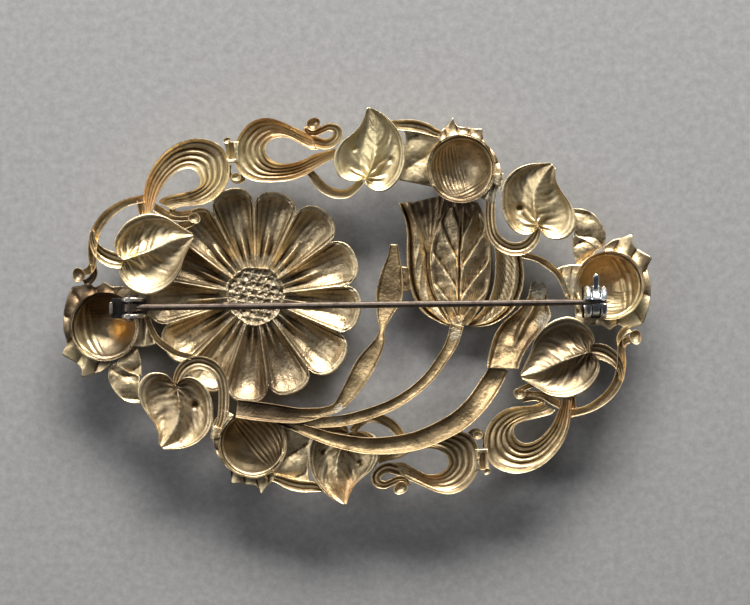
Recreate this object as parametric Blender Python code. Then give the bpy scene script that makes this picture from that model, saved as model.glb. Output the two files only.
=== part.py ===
"""Openwork flower brooch, lying face down with its pinned back up.

A struck brass wreath carries a daisy, a tulip and a second bud on bent stems. On its back sit
a hinge for the pin, and a catch whose barrel turns over the pin's tip.

+X runs along the pin from the hinge to the catch, +Z is the side that the wearer's cloth meets.
The origin is on the table under the middle of the wreath. The wreath's two halves are the same
half turned by 180 degrees about Z. Lengths below are in millimetres.
"""

import math

import bmesh
import bpy
from mathutils import Vector
from mathutils.bvhtree import BVHTree

MM = 0.001

# Struck sheet
SHEET = 0.55  # thickness of the brass
HALF_LENGTH = 42.0  # wreath, along X
HALF_WIDTH = 28.0  # wreath, along Y
RIM_Z = 6.0  # the wreath's rims above the table
DOME = 0.5  # how much the outermost rims rise above that
PITCH = 0.95  # of the grid that the wreath is sampled on
BUD_RADIUS = 4.9
LEAF_DEPTH = 1.9
SCROLL_DEPTH = 1.4
GUTTER_DEPTH = 0.8

# Daisy
DAISY_AT = (-14.6, 1.7)
PETALS = 13
PETAL_TIP = 15.7  # radius of the petal tips
PETAL_NOTCH = 13.7  # radius of the notches between them
FIRST_PETAL = math.radians(18.0)
PETAL_HOLE = 3.9  # hole that the centre boss closes
BOSS_RADIUS = 4.5
BOSS_FLAT = 3.6  # radius of its flat front face

# Pin, hinge and catch
PIN_Y = 0.15
PIN_Z = 8.9
PIN_RADIUS = 0.46
PIN_TIP_X = 35.9
PIVOT_X = -32.1
BASE_Z = 6.2  # underside of the hinge and of the catch
BASE_THICK = 0.5
EAR_GAP = 1.76  # between the hinge's two ears
EAR_THICK = 0.6
HEAD_THICK = 1.04  # the pin's flattened head
RIVET_RADIUS = 0.4
RIVET_PLAY = 0.06
CATCH_X = 33.75
CATCH_LENGTH = 3.1
CATCH_RADIUS = 2.4
CATCH_THROAT = 0.86  # slot that the pin drops into
BARREL_GAP = 1.12  # width of the groove that the barrel's collar turns in
BARREL_RADIUS = 0.95
BARREL_PLAY = 0.06
LEVER_REACH = 4.3
LEVER_ANGLE = math.radians(22.0)  # above the wreath's back plane, towards +Y

# Finishes: colour and roughness
GILT = ((0.56, 0.37, 0.13, 1.0), 0.33)
BRONZE = ((0.36, 0.27, 0.14, 1.0), 0.42)
STEM_GILT = ((0.44, 0.32, 0.14, 1.0), 0.36)
HINGE_BRASS = ((0.33, 0.29, 0.22, 1.0), 0.42)
STEEL = ((0.32, 0.29, 0.26, 1.0), 0.38)
NICKEL = ((0.62, 0.64, 0.66, 1.0), 0.26)


# ---------------------------------------------------------------- curves and sheets


def spline(points, count, steps=12):
    """count points, evenly spaced in XY, on a smooth curve through the given points."""
    last = len(points) - 1
    fine = []
    for i in range(last):
        ends = points[max(i - 1, 0)], points[i], points[i + 1], points[min(i + 2, last)]
        for k in range(steps):
            t = k / steps
            fine.append([_catmull(t, *four) for four in zip(*ends)])
    fine.append(list(points[last]))
    walked = [0.0]
    for a, b in zip(fine, fine[1:]):
        walked.append(walked[-1] + math.dist(a[:2], b[:2]))
    out = []
    k = 0
    for i in range(count):
        want = walked[-1] * i / (count - 1)
        while k < len(fine) - 2 and walked[k + 1] < want:
            k += 1
        share = (want - walked[k]) / max(walked[k + 1] - walked[k], 1e-9)
        out.append([a + (b - a) * share for a, b in zip(fine[k], fine[k + 1])])
    return out


def _catmull(t, a, b, c, d):
    return 0.5 * (2 * b + (c - a) * t + (2 * a - 5 * b + 4 * c - d) * t**2 + (3 * b - a - 3 * c + d) * t**3)


def rim(x, y):
    """Height of the wreath's rims: a very shallow dome."""
    return RIM_Z + DOME * ((x / HALF_LENGTH) ** 2 + (y / HALF_WIDTH) ** 2 - 0.5)


def between(edges, rows, cols, height):
    """A sheet ruled between two or three edge curves that run side by side.

    height(s, t, x, y) gives z: s runs from 0 to 1 along the edges, t from -1 to 1 across them.
    """
    curves = [spline(edge, rows) for edge in edges]
    points = []
    for i in range(rows):
        s = i / (rows - 1)
        for j in range(cols):
            t = 2 * j / (cols - 1) - 1
            place = (t + 1) / 2 * (len(curves) - 1)
            k = min(int(place), len(curves) - 2)
            a, b = curves[k][i], curves[k + 1][i]
            x = a[0] + (b[0] - a[0]) * (place - k)
            y = a[1] + (b[1] - a[1]) * (place - k)
            points.append((x, y, height(s, t, x, y)))
    return points, net(rows, cols)


def ribbon(path, rows, cols, depth):
    """A gutter along a path of (x, y, half width) or (x, y, half width, z of its rims)."""
    middle = spline(path, rows)
    points = []
    for i, (x, y, half, *level) in enumerate(middle):
        before, after = middle[max(i - 1, 0)], middle[min(i + 1, rows - 1)]
        along = Vector((after[0] - before[0], after[1] - before[1])).normalized()
        for j in range(cols):
            t = 2 * j / (cols - 1) - 1
            px, py = x + along.y * half * t, y - along.x * half * t
            top = level[0] if level else rim(px, py) - 0.1
            points.append((px, py, top - depth * (1 - t * t)))
    return points, net(rows, cols)


def net(rows, cols):
    faces = []
    for i in range(rows - 1):
        for j in range(cols - 1):
            a = i * cols + j
            faces.append((a, a + 1, a + cols + 1, a + cols))
    return faces


def bowl(centre, radius_at, rings, spokes, height):
    """A round sheet. radius_at(angle) is its outline, height(r, angle, x, y) is z with r from 0 to 1."""
    points = [(*centre, height(0.0, 0.0, *centre))]
    for i in range(1, rings + 1):
        r = i / rings
        for j in range(spokes):
            angle = 2 * math.pi * j / spokes
            x = centre[0] + r * radius_at(angle) * math.cos(angle)
            y = centre[1] + r * radius_at(angle) * math.sin(angle)
            points.append((x, y, height(r, angle, x, y)))
    faces = [(0, 1 + j, 1 + (j + 1) % spokes) for j in range(spokes)]
    for i in range(rings - 1):
        for j in range(spokes):
            a = 1 + i * spokes + j
            b = 1 + i * spokes + (j + 1) % spokes
            faces.append((a, a + spokes, b + spokes, b))
    return points, faces


# ---------------------------------------------------------------- heights


def trough(depth, sharp=2.4, drop=0.0):
    """A gutter's height: hollow along its middle, with its edges on the rim."""

    def height(s, t, x, y):
        return rim(x, y) - drop - depth * (1 - abs(t) ** sharp)

    return height


def leaf_height(depth):
    """Two hollow lobes with the midrib standing between them."""

    def height(s, t, x, y):
        a = abs(t)
        lobes = math.sin(math.pi * a**0.75) ** 0.8 + 0.4 * (1 - a) ** 2 if 0 < a < 1 else 0.4 * (1 - a)
        swell = math.sin(math.pi * (0.1 + 0.82 * s)) ** 0.7
        return rim(x, y) - depth * lobes * swell

    return height


def bud_height(centre):
    """A round cup with steep walls."""

    def height(r, angle, x, y):
        return rim(*centre) - (rim(*centre) - SHEET) * (1 - r**2.6) ** 0.62

    return height


def collar_height(s, t, x, y):
    """Sepals that turn down and away from a bud's rim."""
    out = (t + 1) / 2
    return rim(x, y) - 0.45 * math.sin(math.pi * out) - 0.7 * out


def web_height(s, t, x, y):
    return rim(x, y) - 0.9 + 0.35 * abs(t)


# ---------------------------------------------------------------- the wreath's half

# Leaves: left edge, midrib and right edge, each from the stalk to the tip
LEAF_BY_DAISY = (
    [(-34.1, 7.7), (-34.4, 9.6), (-33.6, 11.5), (-32.2, 12.8), (-30.3, 13.3), (-28.3, 13.2),
     (-26.2, 12.4), (-23.9, 11.2)],
    [(-33.7, 7.1), (-32.0, 7.5), (-30.0, 8.2), (-28.0, 8.9), (-26.0, 9.8), (-23.6, 10.8)],
    [(-33.6, 6.5), (-33.9, 5.0), (-33.1, 3.2), (-31.6, 2.1), (-29.6, 1.9), (-27.4, 2.7), (-25.6, 4.5),
     (-24.6, 7.0), (-23.2, 10.2)],
)
LEAF_AT_TOP = (
    [(1.0, 18.0), (-0.6, 17.8), (-2.1, 18.4), (-3.0, 20.0), (-3.0, 21.9), (-2.0, 23.3), (-0.4, 24.6),
     (0.9, 26.1), (1.7, 28.1)],
    [(1.4, 18.1), (2.3, 19.5), (2.9, 21.2), (3.0, 23.0), (2.7, 25.2), (2.0, 28.3)],
    [(1.6, 17.5), (2.5, 16.6), (4.0, 16.3), (5.5, 17.2), (6.8, 19.2), (7.2, 21.5), (6.8, 23.9),
     (5.7, 26.0), (4.2, 27.4), (2.4, 28.2)],
)
LEAF_AT_SHOULDER = (
    [(25.7, 10.8), (24.6, 9.95), (22.9, 10.2), (21.5, 11.6), (20.8, 13.4), (20.7, 15.4), (21.2, 17.4),
     (22.8, 19.0), (25.0, 19.95), (27.9, 20.0)],
    [(26.0, 11.2), (25.6, 13.0), (25.4, 14.6), (25.8, 16.4), (26.9, 18.2), (28.2, 19.7)],
    [(26.4, 10.4), (27.4, 9.4), (29.0, 9.2), (30.5, 9.9), (31.3, 11.4), (31.1, 13.3), (30.0, 15.2),
     (28.9, 16.9), (28.5, 19.3)],
)

# Buds: centre, then the sepals' outer edge with the angles where it leaves and joins the cup
END_BUD = (-36.0, -2.5)
END_SEPALS = [
    (-34.6, 3.0), (-36.1, 3.8), (-37.3, 3.2), (-38.4, 3.7), (-40.3, 2.9), (-41.5, 0.9), (-42.0, -1.6),
    (-41.7, -4.6),
    (-42.1, -6.3), (-41.0, -7.1), (-39.8, -8.0), (-39.2, -9.6), (-37.2, -9.2), (-35.4, -7.9),
]
END_SEPAL_ANGLES = (72.0, 276.0)
TOP_BUD = (15.1, 19.4)
TOP_SEPALS = [
    (20.9, 18.3), (20.4, 20.4), (19.6, 22.0), (18.2, 24.0), (18.1, 25.0), (16.4, 25.3), (14.9, 25.5),
    (14.0, 26.6),
    (13.1, 25.6), (11.6, 24.0),
]
TOP_SEPAL_ANGLES = (-14.0, 127.0)

# Scrolls: outer and inner edge
LOW_SCROLL = (
    [(-30.5, 13.0), (-30.1, 16.0), (-29.3, 19.0), (-27.7, 21.7), (-25.3, 23.5), (-22.5, 24.2),
     (-20.1, 23.5), (-18.4, 21.6),
     (-17.95, 19.3), (-18.6, 17.1), (-20.2, 15.4), (-22.5, 14.7), (-24.8, 14.6), (-26.4, 14.0)],
    [(-29.3, 13.2), (-28.8, 15.2), (-28.0, 16.8), (-27.0, 18.1), (-25.8, 19.2), (-24.3, 19.85),
     (-23.0, 19.5), (-22.2, 18.6),
     (-22.2, 17.6), (-22.8, 16.9), (-23.8, 16.6), (-25.3, 16.2), (-27.0, 15.8), (-28.3, 15.2)],
)
HIGH_SCROLL = (
    [(-6.0, 24.2), (-7.2, 24.9), (-8.6, 25.6), (-10.2, 26.3), (-11.9, 26.8), (-13.7, 26.8),
     (-15.4, 25.9), (-16.6, 24.3),
     (-17.0, 22.3), (-16.8, 20.4), (-15.7, 18.9), (-14.0, 18.1), (-12.0, 17.8), (-10.0, 17.85),
     (-8.4, 18.3), (-7.0, 18.9),
     (-5.5, 19.7), (-4.0, 20.4), (-2.8, 21.0)],
    [(-5.2, 22.5), (-6.4, 22.5), (-7.5, 23.1), (-8.8, 23.8), (-10.0, 24.15), (-11.3, 24.1),
     (-12.3, 23.4), (-12.7, 22.4),
     (-12.4, 21.4), (-11.5, 20.7), (-10.0, 20.4), (-8.5, 20.6), (-7.0, 21.2), (-5.8, 21.7),
     (-4.4, 22.0), (-2.8, 22.4)],
)

# Tendrils: (x, y, half width), how many rows the coarse sheet takes, how deep it is
TENDRILS = (
    ([(-40.3, 4.6, 0.75), (-39.0, 4.9, 0.7), (-37.8, 5.4, 0.65), (-37.4, 6.8, 0.6), (-37.6, 9.0, 0.7),
      (-36.9, 11.6, 0.75),
      (-35.2, 13.7, 0.7), (-33.0, 15.1, 0.6), (-30.0, 15.8, 0.6)], 13),
    ([(-37.0, 9.6, 0.7), (-36.3, 8.0, 1.0), (-35.0, 7.1, 1.0), (-33.6, 7.0, 0.8)], 5),
    ([(-30.7, 15.4, 0.5), (-30.3, 12.8, 0.55)], 3),
    ([(-28.9, 14.4, 0.6), (-27.2, 13.5, 0.7), (-25.4, 13.0, 0.6), (-23.6, 12.9, 0.7)], 5),
    ([(-22.5, 15.2, 0.5), (-22.2, 13.8, 0.5), (-22.9, 12.6, 0.7), (-23.8, 12.8, 0.5)], 5),
    ([(-18.4, 23.9, 0.55), (-17.7, 22.4, 0.6), (-17.5, 20.6, 0.6), (-17.2, 18.4, 0.75)], 5),
    ([(-5.8, 23.4, 0.9), (-4.2, 23.1, 0.85), (-2.8, 23.8, 0.8), (-2.3, 25.0, 0.7), (-3.4, 25.6, 0.55),
      (-4.8, 25.2, 0.5),
      (-6.4, 25.2, 0.6), (-6.3, 26.4, 0.5)], 11),
    ([(-6.6, 19.3, 0.55), (-5.5, 17.9, 0.6), (-4.3, 16.7, 0.65), (-2.6, 15.95, 0.7), (-0.9, 16.2, 0.65),
      (0.7, 17.5, 0.6),
      (1.5, 18.5, 0.5)], 9),
    ([(5.4, 25.6, 0.6), (7.2, 25.7, 0.75), (9.0, 25.6, 0.8), (10.9, 24.8, 0.75), (12.6, 24.1, 0.6)], 6),
    ([(20.7, 18.2, 0.7), (19.6, 16.2, 0.75), (19.1, 13.6, 0.75), (19.1, 11.2, 0.75), (19.8, 9.4, 0.8),
      (21.4, 8.2, 0.85),
      (23.4, 7.9, 0.95), (25.2, 8.9, 0.85), (26.1, 11.0, 0.6)], 12),
    ([(22.8, 7.2, 0.5), (25.0, 6.8, 0.5), (26.9, 5.9, 0.55), (28.5, 4.6, 0.55), (29.7, 3.0, 0.6),
      (30.7, 1.0, 0.7), (31.6, -0.9, 0.7)], 8),
)

# Plates between the motifs: left and right edge
WEBS = (
    ([(6.6, 25.4), (6.9, 23.0), (6.8, 20.0), (5.9, 17.9)], [(12.2, 24.4), (10.9, 22.0), (10.4, 19.6),
      (10.9, 16.9)]),
    ([(30.8, 13.4), (32.6, 13.2), (34.2, 12.1), (35.2, 10.4), (35.4, 8.0)], [(30.9, 12.0), (30.9, 10.6),
      (31.0, 9.3), (32.4, 8.6), (34.6, 7.0)]),
    ([(31.0, 9.6), (31.3, 7.4), (31.7, 5.4)], [(34.9, 8.3), (33.9, 7.0), (33.0, 5.2)]),
    ([(28.5, 5.0), (30.2, 5.4), (32.2, 5.3)], [(29.8, 2.8), (30.9, 1.6), (32.0, 0.4)]),
    ([(-35.0, 3.1), (-33.4, 3.2), (-31.2, 2.6)], [(-33.6, 1.0), (-32.4, 0.2), (-31.0, -0.8)]),
)


def sepals(centre, outline, angles, rows, cols):
    first, last = (math.radians(a) for a in angles)
    steps = 8
    cup = []
    for i in range(steps + 1):
        angle = first + (last - first) * i / steps
        reach = BUD_RADIUS * 0.95
        cup.append((centre[0] + reach * math.cos(angle), centre[1] + reach * math.sin(angle)))
    return between((cup, outline), rows, cols, collar_height)


def half_wreath():
    """The sheets of one half. Where two share a place in plan, the earlier one is what is there."""
    sheets = [bowl(at, lambda angle: BUD_RADIUS, 6, 30, bud_height(at)) for at in (END_BUD, TOP_BUD)]
    for edges in (LEAF_BY_DAISY, LEAF_AT_TOP, LEAF_AT_SHOULDER):
        sheets.append(between(edges, 17, 17, leaf_height(LEAF_DEPTH)))
    sheets.append(sepals(END_BUD, END_SEPALS, END_SEPAL_ANGLES, 25, 5))
    sheets.append(sepals(TOP_BUD, TOP_SEPALS, TOP_SEPAL_ANGLES, 17, 5))
    sheets.append(between(LOW_SCROLL, 40, 9, trough(SCROLL_DEPTH, 2.0)))
    sheets.append(between(HIGH_SCROLL, 50, 9, trough(SCROLL_DEPTH, 2.0)))
    for path, rows in TENDRILS:
        sheets.append(ribbon(path, rows * 2, 5, GUTTER_DEPTH))
    for edges in WEBS:
        sheets.append(between(edges, 5, 3, web_height))
    return sheets


def turned(sheet):
    return [(-x, -y, z) for x, y, z in sheet[0]], sheet[1]


class Plate:
    """One closed plate that follows a stack of sheets, sampled on a square grid."""

    def __init__(self, sheets):
        self.trees = [BVHTree.FromPolygons([Vector(p) for p in points], faces) for points, faces in sheets]
        self.points = []
        self.faces = []
        self.seen = {}

    def look(self, x, y):
        """The top and bottom heights at a place, or None where the plate is open."""
        for tree in self.trees:
            hit, normal, _, _ = tree.ray_cast(Vector((x, y, 50.0)), Vector((0, 0, -1)))
            if hit is not None:
                return hit.z, hit.z - min(SHEET / max(abs(normal.z), 0.3), 3 * SHEET)
        return None

    def vertex(self, key, x, y, heights):
        """Index of the top point of a pair. The bottom one follows it."""
        if key not in self.seen:
            self.seen[key] = len(self.points)
            self.points += [(x, y, heights[0]), (x, y, max(heights[1], 0.0))]
        return self.seen[key]

    def crossing(self, inside, outside, found):
        """The point on a grid line where the plate ends."""
        key = (inside, outside)
        if key in self.seen:
            return self.seen[key]
        near, far = 0.0, 1.0
        best = found
        for _ in range(9):
            mid = (near + far) / 2
            x, y = (PITCH * (a + (b - a) * mid) for a, b in zip(inside, outside))
            heights = self.look(x, y)
            if heights:
                near, best = mid, heights
            else:
                far = mid
        share = min(max(near, 0.12), 0.88)
        x, y = (PITCH * (a + (b - a) * share) for a, b in zip(inside, outside))
        return self.vertex(key, x, y, best)

    def cell(self, corners, heights):
        ring, ends = [], []
        for k in range(4):
            here, there = corners[k], corners[(k + 1) % 4]
            if heights[here]:
                ring.append(self.vertex(here, here[0] * PITCH, here[1] * PITCH, heights[here]))
            if bool(heights[here]) != bool(heights[there]):
                pair = (here, there) if heights[here] else (there, here)
                ring.append(self.crossing(*pair, heights[pair[0]]))
                ends.append((len(ring) - 1, bool(heights[here])))
        for i in range(1, len(ring) - 1):
            self.faces.append((ring[0], ring[i], ring[i + 1]))
            self.faces.append((ring[0] + 1, ring[i + 1] + 1, ring[i] + 1))
        for at, leaving in ends:
            if leaving:
                a, b = ring[at], ring[(at + 1) % len(ring)]
                self.faces.append((a, a + 1, b + 1, b))

    def solid(self, half_x, half_y):
        nx, ny = int(half_x / PITCH) + 1, int(half_y / PITCH) + 1
        heights = {}
        for i in range(-nx, nx + 1):
            for j in range(-ny, ny + 1):
                heights[i, j] = self.look(i * PITCH, j * PITCH)
        for i in range(-nx, nx):
            for j in range(-ny, ny):
                corners = ((i, j), (i + 1, j), (i + 1, j + 1), (i, j + 1))
                if any(heights[c] for c in corners):
                    self.cell(corners, heights)
        return self.points, self.faces


# ---------------------------------------------------------------- Blender objects


def material(name, finish):
    colour, roughness = finish
    made = bpy.data.materials.new(name)
    made.use_nodes = True
    shader = made.node_tree.nodes["Principled BSDF"]
    shader.inputs["Base Color"].default_value = colour
    shader.inputs["Metallic"].default_value = 1.0
    shader.inputs["Roughness"].default_value = roughness
    return made


def add_mesh(name, points, faces, finish, origin=(0.0, 0.0, 0.0)):
    mesh = bpy.data.meshes.new(name)
    mesh.from_pydata([[(c - o) * MM for c, o in zip(p, origin)] for p in points], [], faces)
    obj = bpy.data.objects.new(name, mesh)
    obj.location = [o * MM for o in origin]
    bpy.context.scene.collection.objects.link(obj)
    face_up(mesh)
    mesh.materials.append(material(name, finish))
    return obj


def face_up(mesh):
    """Turns an open sheet's normals up, or a closed mesh's normals out."""
    work = bmesh.new()
    work.from_mesh(mesh)
    bmesh.ops.recalc_face_normals(work, faces=work.faces)
    is_open = any(edge.is_boundary for edge in work.edges)
    if is_open and sum(face.normal.z * face.calc_area() for face in work.faces) < 0:
        bmesh.ops.reverse_faces(work, faces=work.faces)
    work.to_mesh(mesh)
    work.free()
    mesh.shade_smooth()
    mesh.set_sharp_from_angle(angle=math.radians(40))


def struck(name, sheet, finish, thickness=SHEET):
    """A closed plate: the sheet, and its copy lowered by the thickness."""
    points, faces = sheet
    n = len(points)
    lower = [(x, y, z - thickness) for x, y, z in points]
    edges = {(face[k], face[(k + 1) % len(face)]) for face in faces for k in range(len(face))}
    walls = [(a, a + n, b + n, b) for a, b in sorted(edges) if (b, a) not in edges]
    under = [tuple(i + n for i in reversed(face)) for face in faces]
    return add_mesh(name, points + lower, faces + under + walls, finish)


def as_helper(obj, collection):
    obj.hide_render = True
    obj.display_type = "WIRE"
    bpy.context.scene.collection.objects.unlink(obj)
    collection.objects.link(obj)


def joined(obj, helpers, operation="UNION"):
    """Adds to obj, or cuts from it, the helpers' shapes."""
    group = bpy.data.collections.new(f"{obj.name}_{operation.lower()}")
    bpy.context.scene.collection.children.link(group)
    for helper in helpers:
        as_helper(helper, group)
    change = obj.modifiers.new(operation.lower(), "BOOLEAN")
    change.operation = operation
    change.operand_type = "COLLECTION"
    change.collection = group
    change.solver = "EXACT"
    return obj


def prism(name, outline, low, high, axis, finish, origin=(0.0, 0.0, 0.0)):
    """The outline, extruded between two places on an axis. Outline points are (next axis, axis after)."""
    order = {"X": (1, 2, 0), "Y": (2, 0, 1), "Z": (0, 1, 2)}[axis]
    points = []
    for place in (low, high):
        for a, b in outline:
            point = [0.0, 0.0, 0.0]
            point[order[0]], point[order[1]], point[order[2]] = a, b, place
            points.append(point)
    n = len(outline)
    faces = [tuple(range(n)), tuple(range(2 * n - 1, n - 1, -1))]
    faces += [(i, i + n, (i + 1) % n + n, (i + 1) % n) for i in range(n)]
    return add_mesh(name, points, faces, finish, origin)


def circle(a, b, radius, sides, start=0.0):
    turn = 2 * math.pi / sides
    angles = [start + i * turn for i in range(sides)]
    return [(a + radius * math.cos(angle), b + radius * math.sin(angle)) for angle in angles]


def box(name, low, high, finish):
    outline = [(low[0], low[1]), (high[0], low[1]), (high[0], high[1]), (low[0], high[1])]
    return prism(name, outline, low[2], high[2], "Z", finish)


def turned_along_x(name, profile, y, z, sides, finish, origin):
    """A solid of revolution about a line along X. The profile is (x, radius) from end to end."""
    points, faces = [], []
    for x, radius in profile:
        for a, b in circle(y, z, radius, sides):
            points.append((x, a, b))
    for i in range(len(profile) - 1):
        for j in range(sides):
            a, b = i * sides + j, i * sides + (j + 1) % sides
            faces.append((a, b, b + sides, a + sides))
    faces.append(tuple(range(sides - 1, -1, -1)))
    faces.append(tuple(range(len(points) - sides, len(points))))
    return add_mesh(name, points, faces, finish, origin)


# ---------------------------------------------------------------- sub-parts


def make_wreath():
    sheets = []
    for sheet in half_wreath():
        sheets += [sheet, turned(sheet)]
    add_mesh("wreath", *Plate(sheets).solid(HALF_LENGTH + 2, HALF_WIDTH + 2), GILT)


def petal_radius(angle):
    """The daisy's outline: round tips between notches."""
    share = ((angle - FIRST_PETAL) * PETALS / (2 * math.pi)) % 1.0
    lobe = abs(math.cos(math.pi * share)) ** 0.75
    return PETAL_NOTCH + (PETAL_TIP - PETAL_NOTCH) * lobe


def daisy_height(r, angle):
    share = ((angle - FIRST_PETAL) * PETALS / (2 * math.pi)) % 1.0
    across = 2 * abs(share - 0.5)
    ridge = 2.6 + 0.35 * math.sin(math.pi * r)
    return ridge - 0.95 * across * math.sin(math.pi * min(0.12 + 0.8 * r, 1.0)) - 0.3 * r**4


def make_daisy():
    """Petals struck as one plate around a hole."""
    spokes = PETALS * 4
    rings = 5
    points, faces = [], []
    for i in range(rings):
        r = i / (rings - 1)
        for j in range(spokes):
            angle = FIRST_PETAL + 2 * math.pi * j / spokes
            reach = PETAL_HOLE + (petal_radius(angle) - PETAL_HOLE) * r
            x = DAISY_AT[0] + reach * math.cos(angle)
            y = DAISY_AT[1] + reach * math.sin(angle)
            points.append((x, y, daisy_height(r, angle)))
    for i in range(rings - 1):
        for j in range(spokes):
            a, b = i * spokes + j, i * spokes + (j + 1) % spokes
            faces.append((a, a + spokes, b + spokes, b))
    return struck("daisy_petals", (points, faces), BRONZE)


def make_boss():
    """The daisy's centre, a shallow cup with a flat front that the petals' plate sits on."""
    profile = [
        (BOSS_FLAT - 0.4, 1.75), (BOSS_FLAT, 1.45), (BOSS_RADIUS, 1.45), (BOSS_RADIUS, 0.95),
        (BOSS_FLAT, 0.0),
    ]
    sides = 28
    points, faces = [], []
    for radius, z in profile:
        for x, y in circle(*DAISY_AT, radius, sides):
            points.append((x, y, z))
    for i in range(len(profile) - 1):
        for j in range(sides):
            a, b = i * sides + j, i * sides + (j + 1) % sides
            faces.append((a, b, b + sides, a + sides))
    faces.append(tuple(range(sides)))
    faces.append(tuple(range(len(points) - 1, len(points) - 1 - sides, -1)))
    return add_mesh("daisy_boss", points, faces, BRONZE)


TULIP_LEFT = [(12.8, -2.9), (9.6, -1.4), (7.8, 1.2), (7.3, 5.0), (7.2, 8.6), (7.0, 11.6), (6.2, 14.5)]
TULIP_MIDDLE = [(14.4, -3.1), (14.4, -1.0), (14.6, 2.0), (14.8, 5.0), (14.8, 8.6), (14.0, 12.2),
    (12.6, 15.6)]
TULIP_RIGHT = [(16.0, -3.1), (20.2, -2.4), (23.0, -0.1), (24.0, 3.2), (23.5, 6.4), (21.4, 9.2),
    (18.2, 12.9)]


def tulip_height(s, t, x, y):
    return 2.9 - 1.5 * (1 - abs(t) ** 3) * math.sin(math.pi * (0.12 + 0.8 * s)) ** 0.7


def stem_height(z_from, z_to, depth=0.6):
    def height(s, t, x, y):
        ease = s * s * (3 - 2 * s)
        return z_from + (z_to - z_from) * ease - depth * (1 - abs(t) ** 2)

    return height


TULIP_STEM = [
    (14.5, -2.7, 0.8, 4.0), (12.6, -7.4, 0.8, 4.6), (9.4, -11.3, 0.8, 5.9), (5.0, -14.3, 0.8, 7.1),
    (-0.5, -15.9, 0.8, 7.3),
    (-6.0, -16.4, 0.6, 7.2), (-11.2, -15.75, 0.42, 7.1), (-14.6, -14.95, 0.38, 7.05),
    (-17.4, -14.1, 0.36, 7.0),
]
BUD_STEM = [
    (20.4, -8.9, 1.3, 4.9), (19.0, -11.2, 1.35, 5.5), (16.6, -14.4, 1.35, 6.9),
    (13.4, -17.1, 1.35, 7.5), (8.0, -19.5, 1.3, 7.5),
    (2.0, -20.0, 1.2, 7.5), (-3.0, -19.1, 0.95, 7.4), (-7.0, -17.95, 0.6, 7.2),
    (-11.3, -16.75, 0.4, 7.1), (-14.4, -15.9, 0.38, 7.05),
    (-17.0, -15.05, 0.36, 7.0),
]
TWIG = [
    (-17.65, -13.25, 0.36, 7.0), (-14.4, -14.05, 0.38, 7.05), (-11.0, -14.8, 0.4, 7.1),
    (-7.4, -15.0, 0.42, 7.1),
    (-4.8, -14.85, 0.45, 7.1), (-2.9, -14.3, 0.6, 7.1), (-0.8, -11.6, 1.1, 7.0), (1.2, -8.4, 1.25, 6.6),
    (3.0, -5.3, 0.8, 5.9),
    (3.8, -3.1, 0.4, 5.0), (4.2, -0.9, 1.1, 4.4), (4.5, 1.8, 1.6, 4.0), (4.9, 4.8, 1.3, 3.8),
    (5.4, 8.7, 0.35, 3.7),
]
SHEATH = (
    [(18.7, -9.0), (19.5, -6.0), (21.0, -3.0), (23.2, -1.0), (24.5, 0.6), (25.2, 2.8)],
    [(21.6, -9.4), (23.2, -7.4), (25.2, -4.6), (26.9, -2.4), (27.2, -0.4), (27.0, 2.6)],
)


def sheath_height(s, t, x, y):
    return 6.0 - 2.3 * s - (0.4 + 0.9 * math.sin(math.pi * s)) * (1 - abs(t) ** 2.5)


def make_spray():
    """The tulip, the second flower's bud, and their stems."""
    struck("tulip_head", between((TULIP_LEFT, TULIP_MIDDLE, TULIP_RIGHT), 11, 11, tulip_height), BRONZE)
    struck("tulip_stem", ribbon(TULIP_STEM, 26, 3, 0.35), STEM_GILT)
    struck("bud_stem", ribbon(BUD_STEM, 28, 5, 0.6), STEM_GILT)
    struck("twig_leaf", ribbon(TWIG, 30, 3, 0.3), STEM_GILT)
    struck("bud_sheath", between(SHEATH, 10, 5, sheath_height), STEM_GILT)


def make_hinge():
    """A folded bracket with two ears and a stop, and the rivet through its ears."""
    ear_top = PIN_Z + 1.1
    far = PIVOT_X + 2.2
    near = PIVOT_X - 1.5
    half = EAR_GAP / 2
    low_y, high_y = PIN_Y - half - EAR_THICK, PIN_Y + half + EAR_THICK
    deck = BASE_Z + BASE_THICK
    bracket = box("hinge_bracket", (near - 1.4, low_y, BASE_Z), (far, high_y, deck), HINGE_BRASS)
    ear = [(BASE_Z + 0.1, near)]
    for i in range(7):
        angle = math.pi * (1.0 - i / 6)
        along = {0: -1.3, 6: 1.5}.get(i, 1.1 * math.cos(angle))
        ear.append((ear_top - 1.1 + 1.1 * math.sin(angle), PIVOT_X + along))
    ear.append((BASE_Z + 0.1, far - 0.1))
    parts = []
    for side, start in (("upper", PIN_Y + half), ("lower", PIN_Y - half - EAR_THICK)):
        parts.append(prism(f"ear_{side}", ear, start + 0.001, start + EAR_THICK - 0.001, "Y", HINGE_BRASS))
    tab_low, tab_high = (near - 1.38, PIN_Y - 0.9, BASE_Z + 0.1), (near - 0.88, PIN_Y + 0.9, PIN_Z + 0.7)
    parts.append(box("stop_tab", tab_low, tab_high, HINGE_BRASS))
    joined(bracket, parts)
    outline = circle(PIN_Z, PIVOT_X, RIVET_RADIUS + RIVET_PLAY, 16)
    bore = prism("ear_bore", outline, low_y - 1, high_y + 1, "Y", HINGE_BRASS)
    joined(bracket, [bore], "DIFFERENCE")
    outline = circle(PIN_Z, PIVOT_X, RIVET_RADIUS, 16)
    shank = prism("hinge_rivet", outline, low_y - 0.3, high_y + 0.3, "Y", STEEL)
    heads = []
    ends = (
        ("rivet_head_low", low_y - 0.35, low_y - 0.05),
        ("rivet_head_high", high_y + 0.05, high_y + 0.35),
    )
    for name, a, b in ends:
        heads.append(prism(name, circle(PIN_Z, PIVOT_X, RIVET_RADIUS + 0.28, 16), a, b, "Y", STEEL))
    joined(shank, heads)


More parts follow.
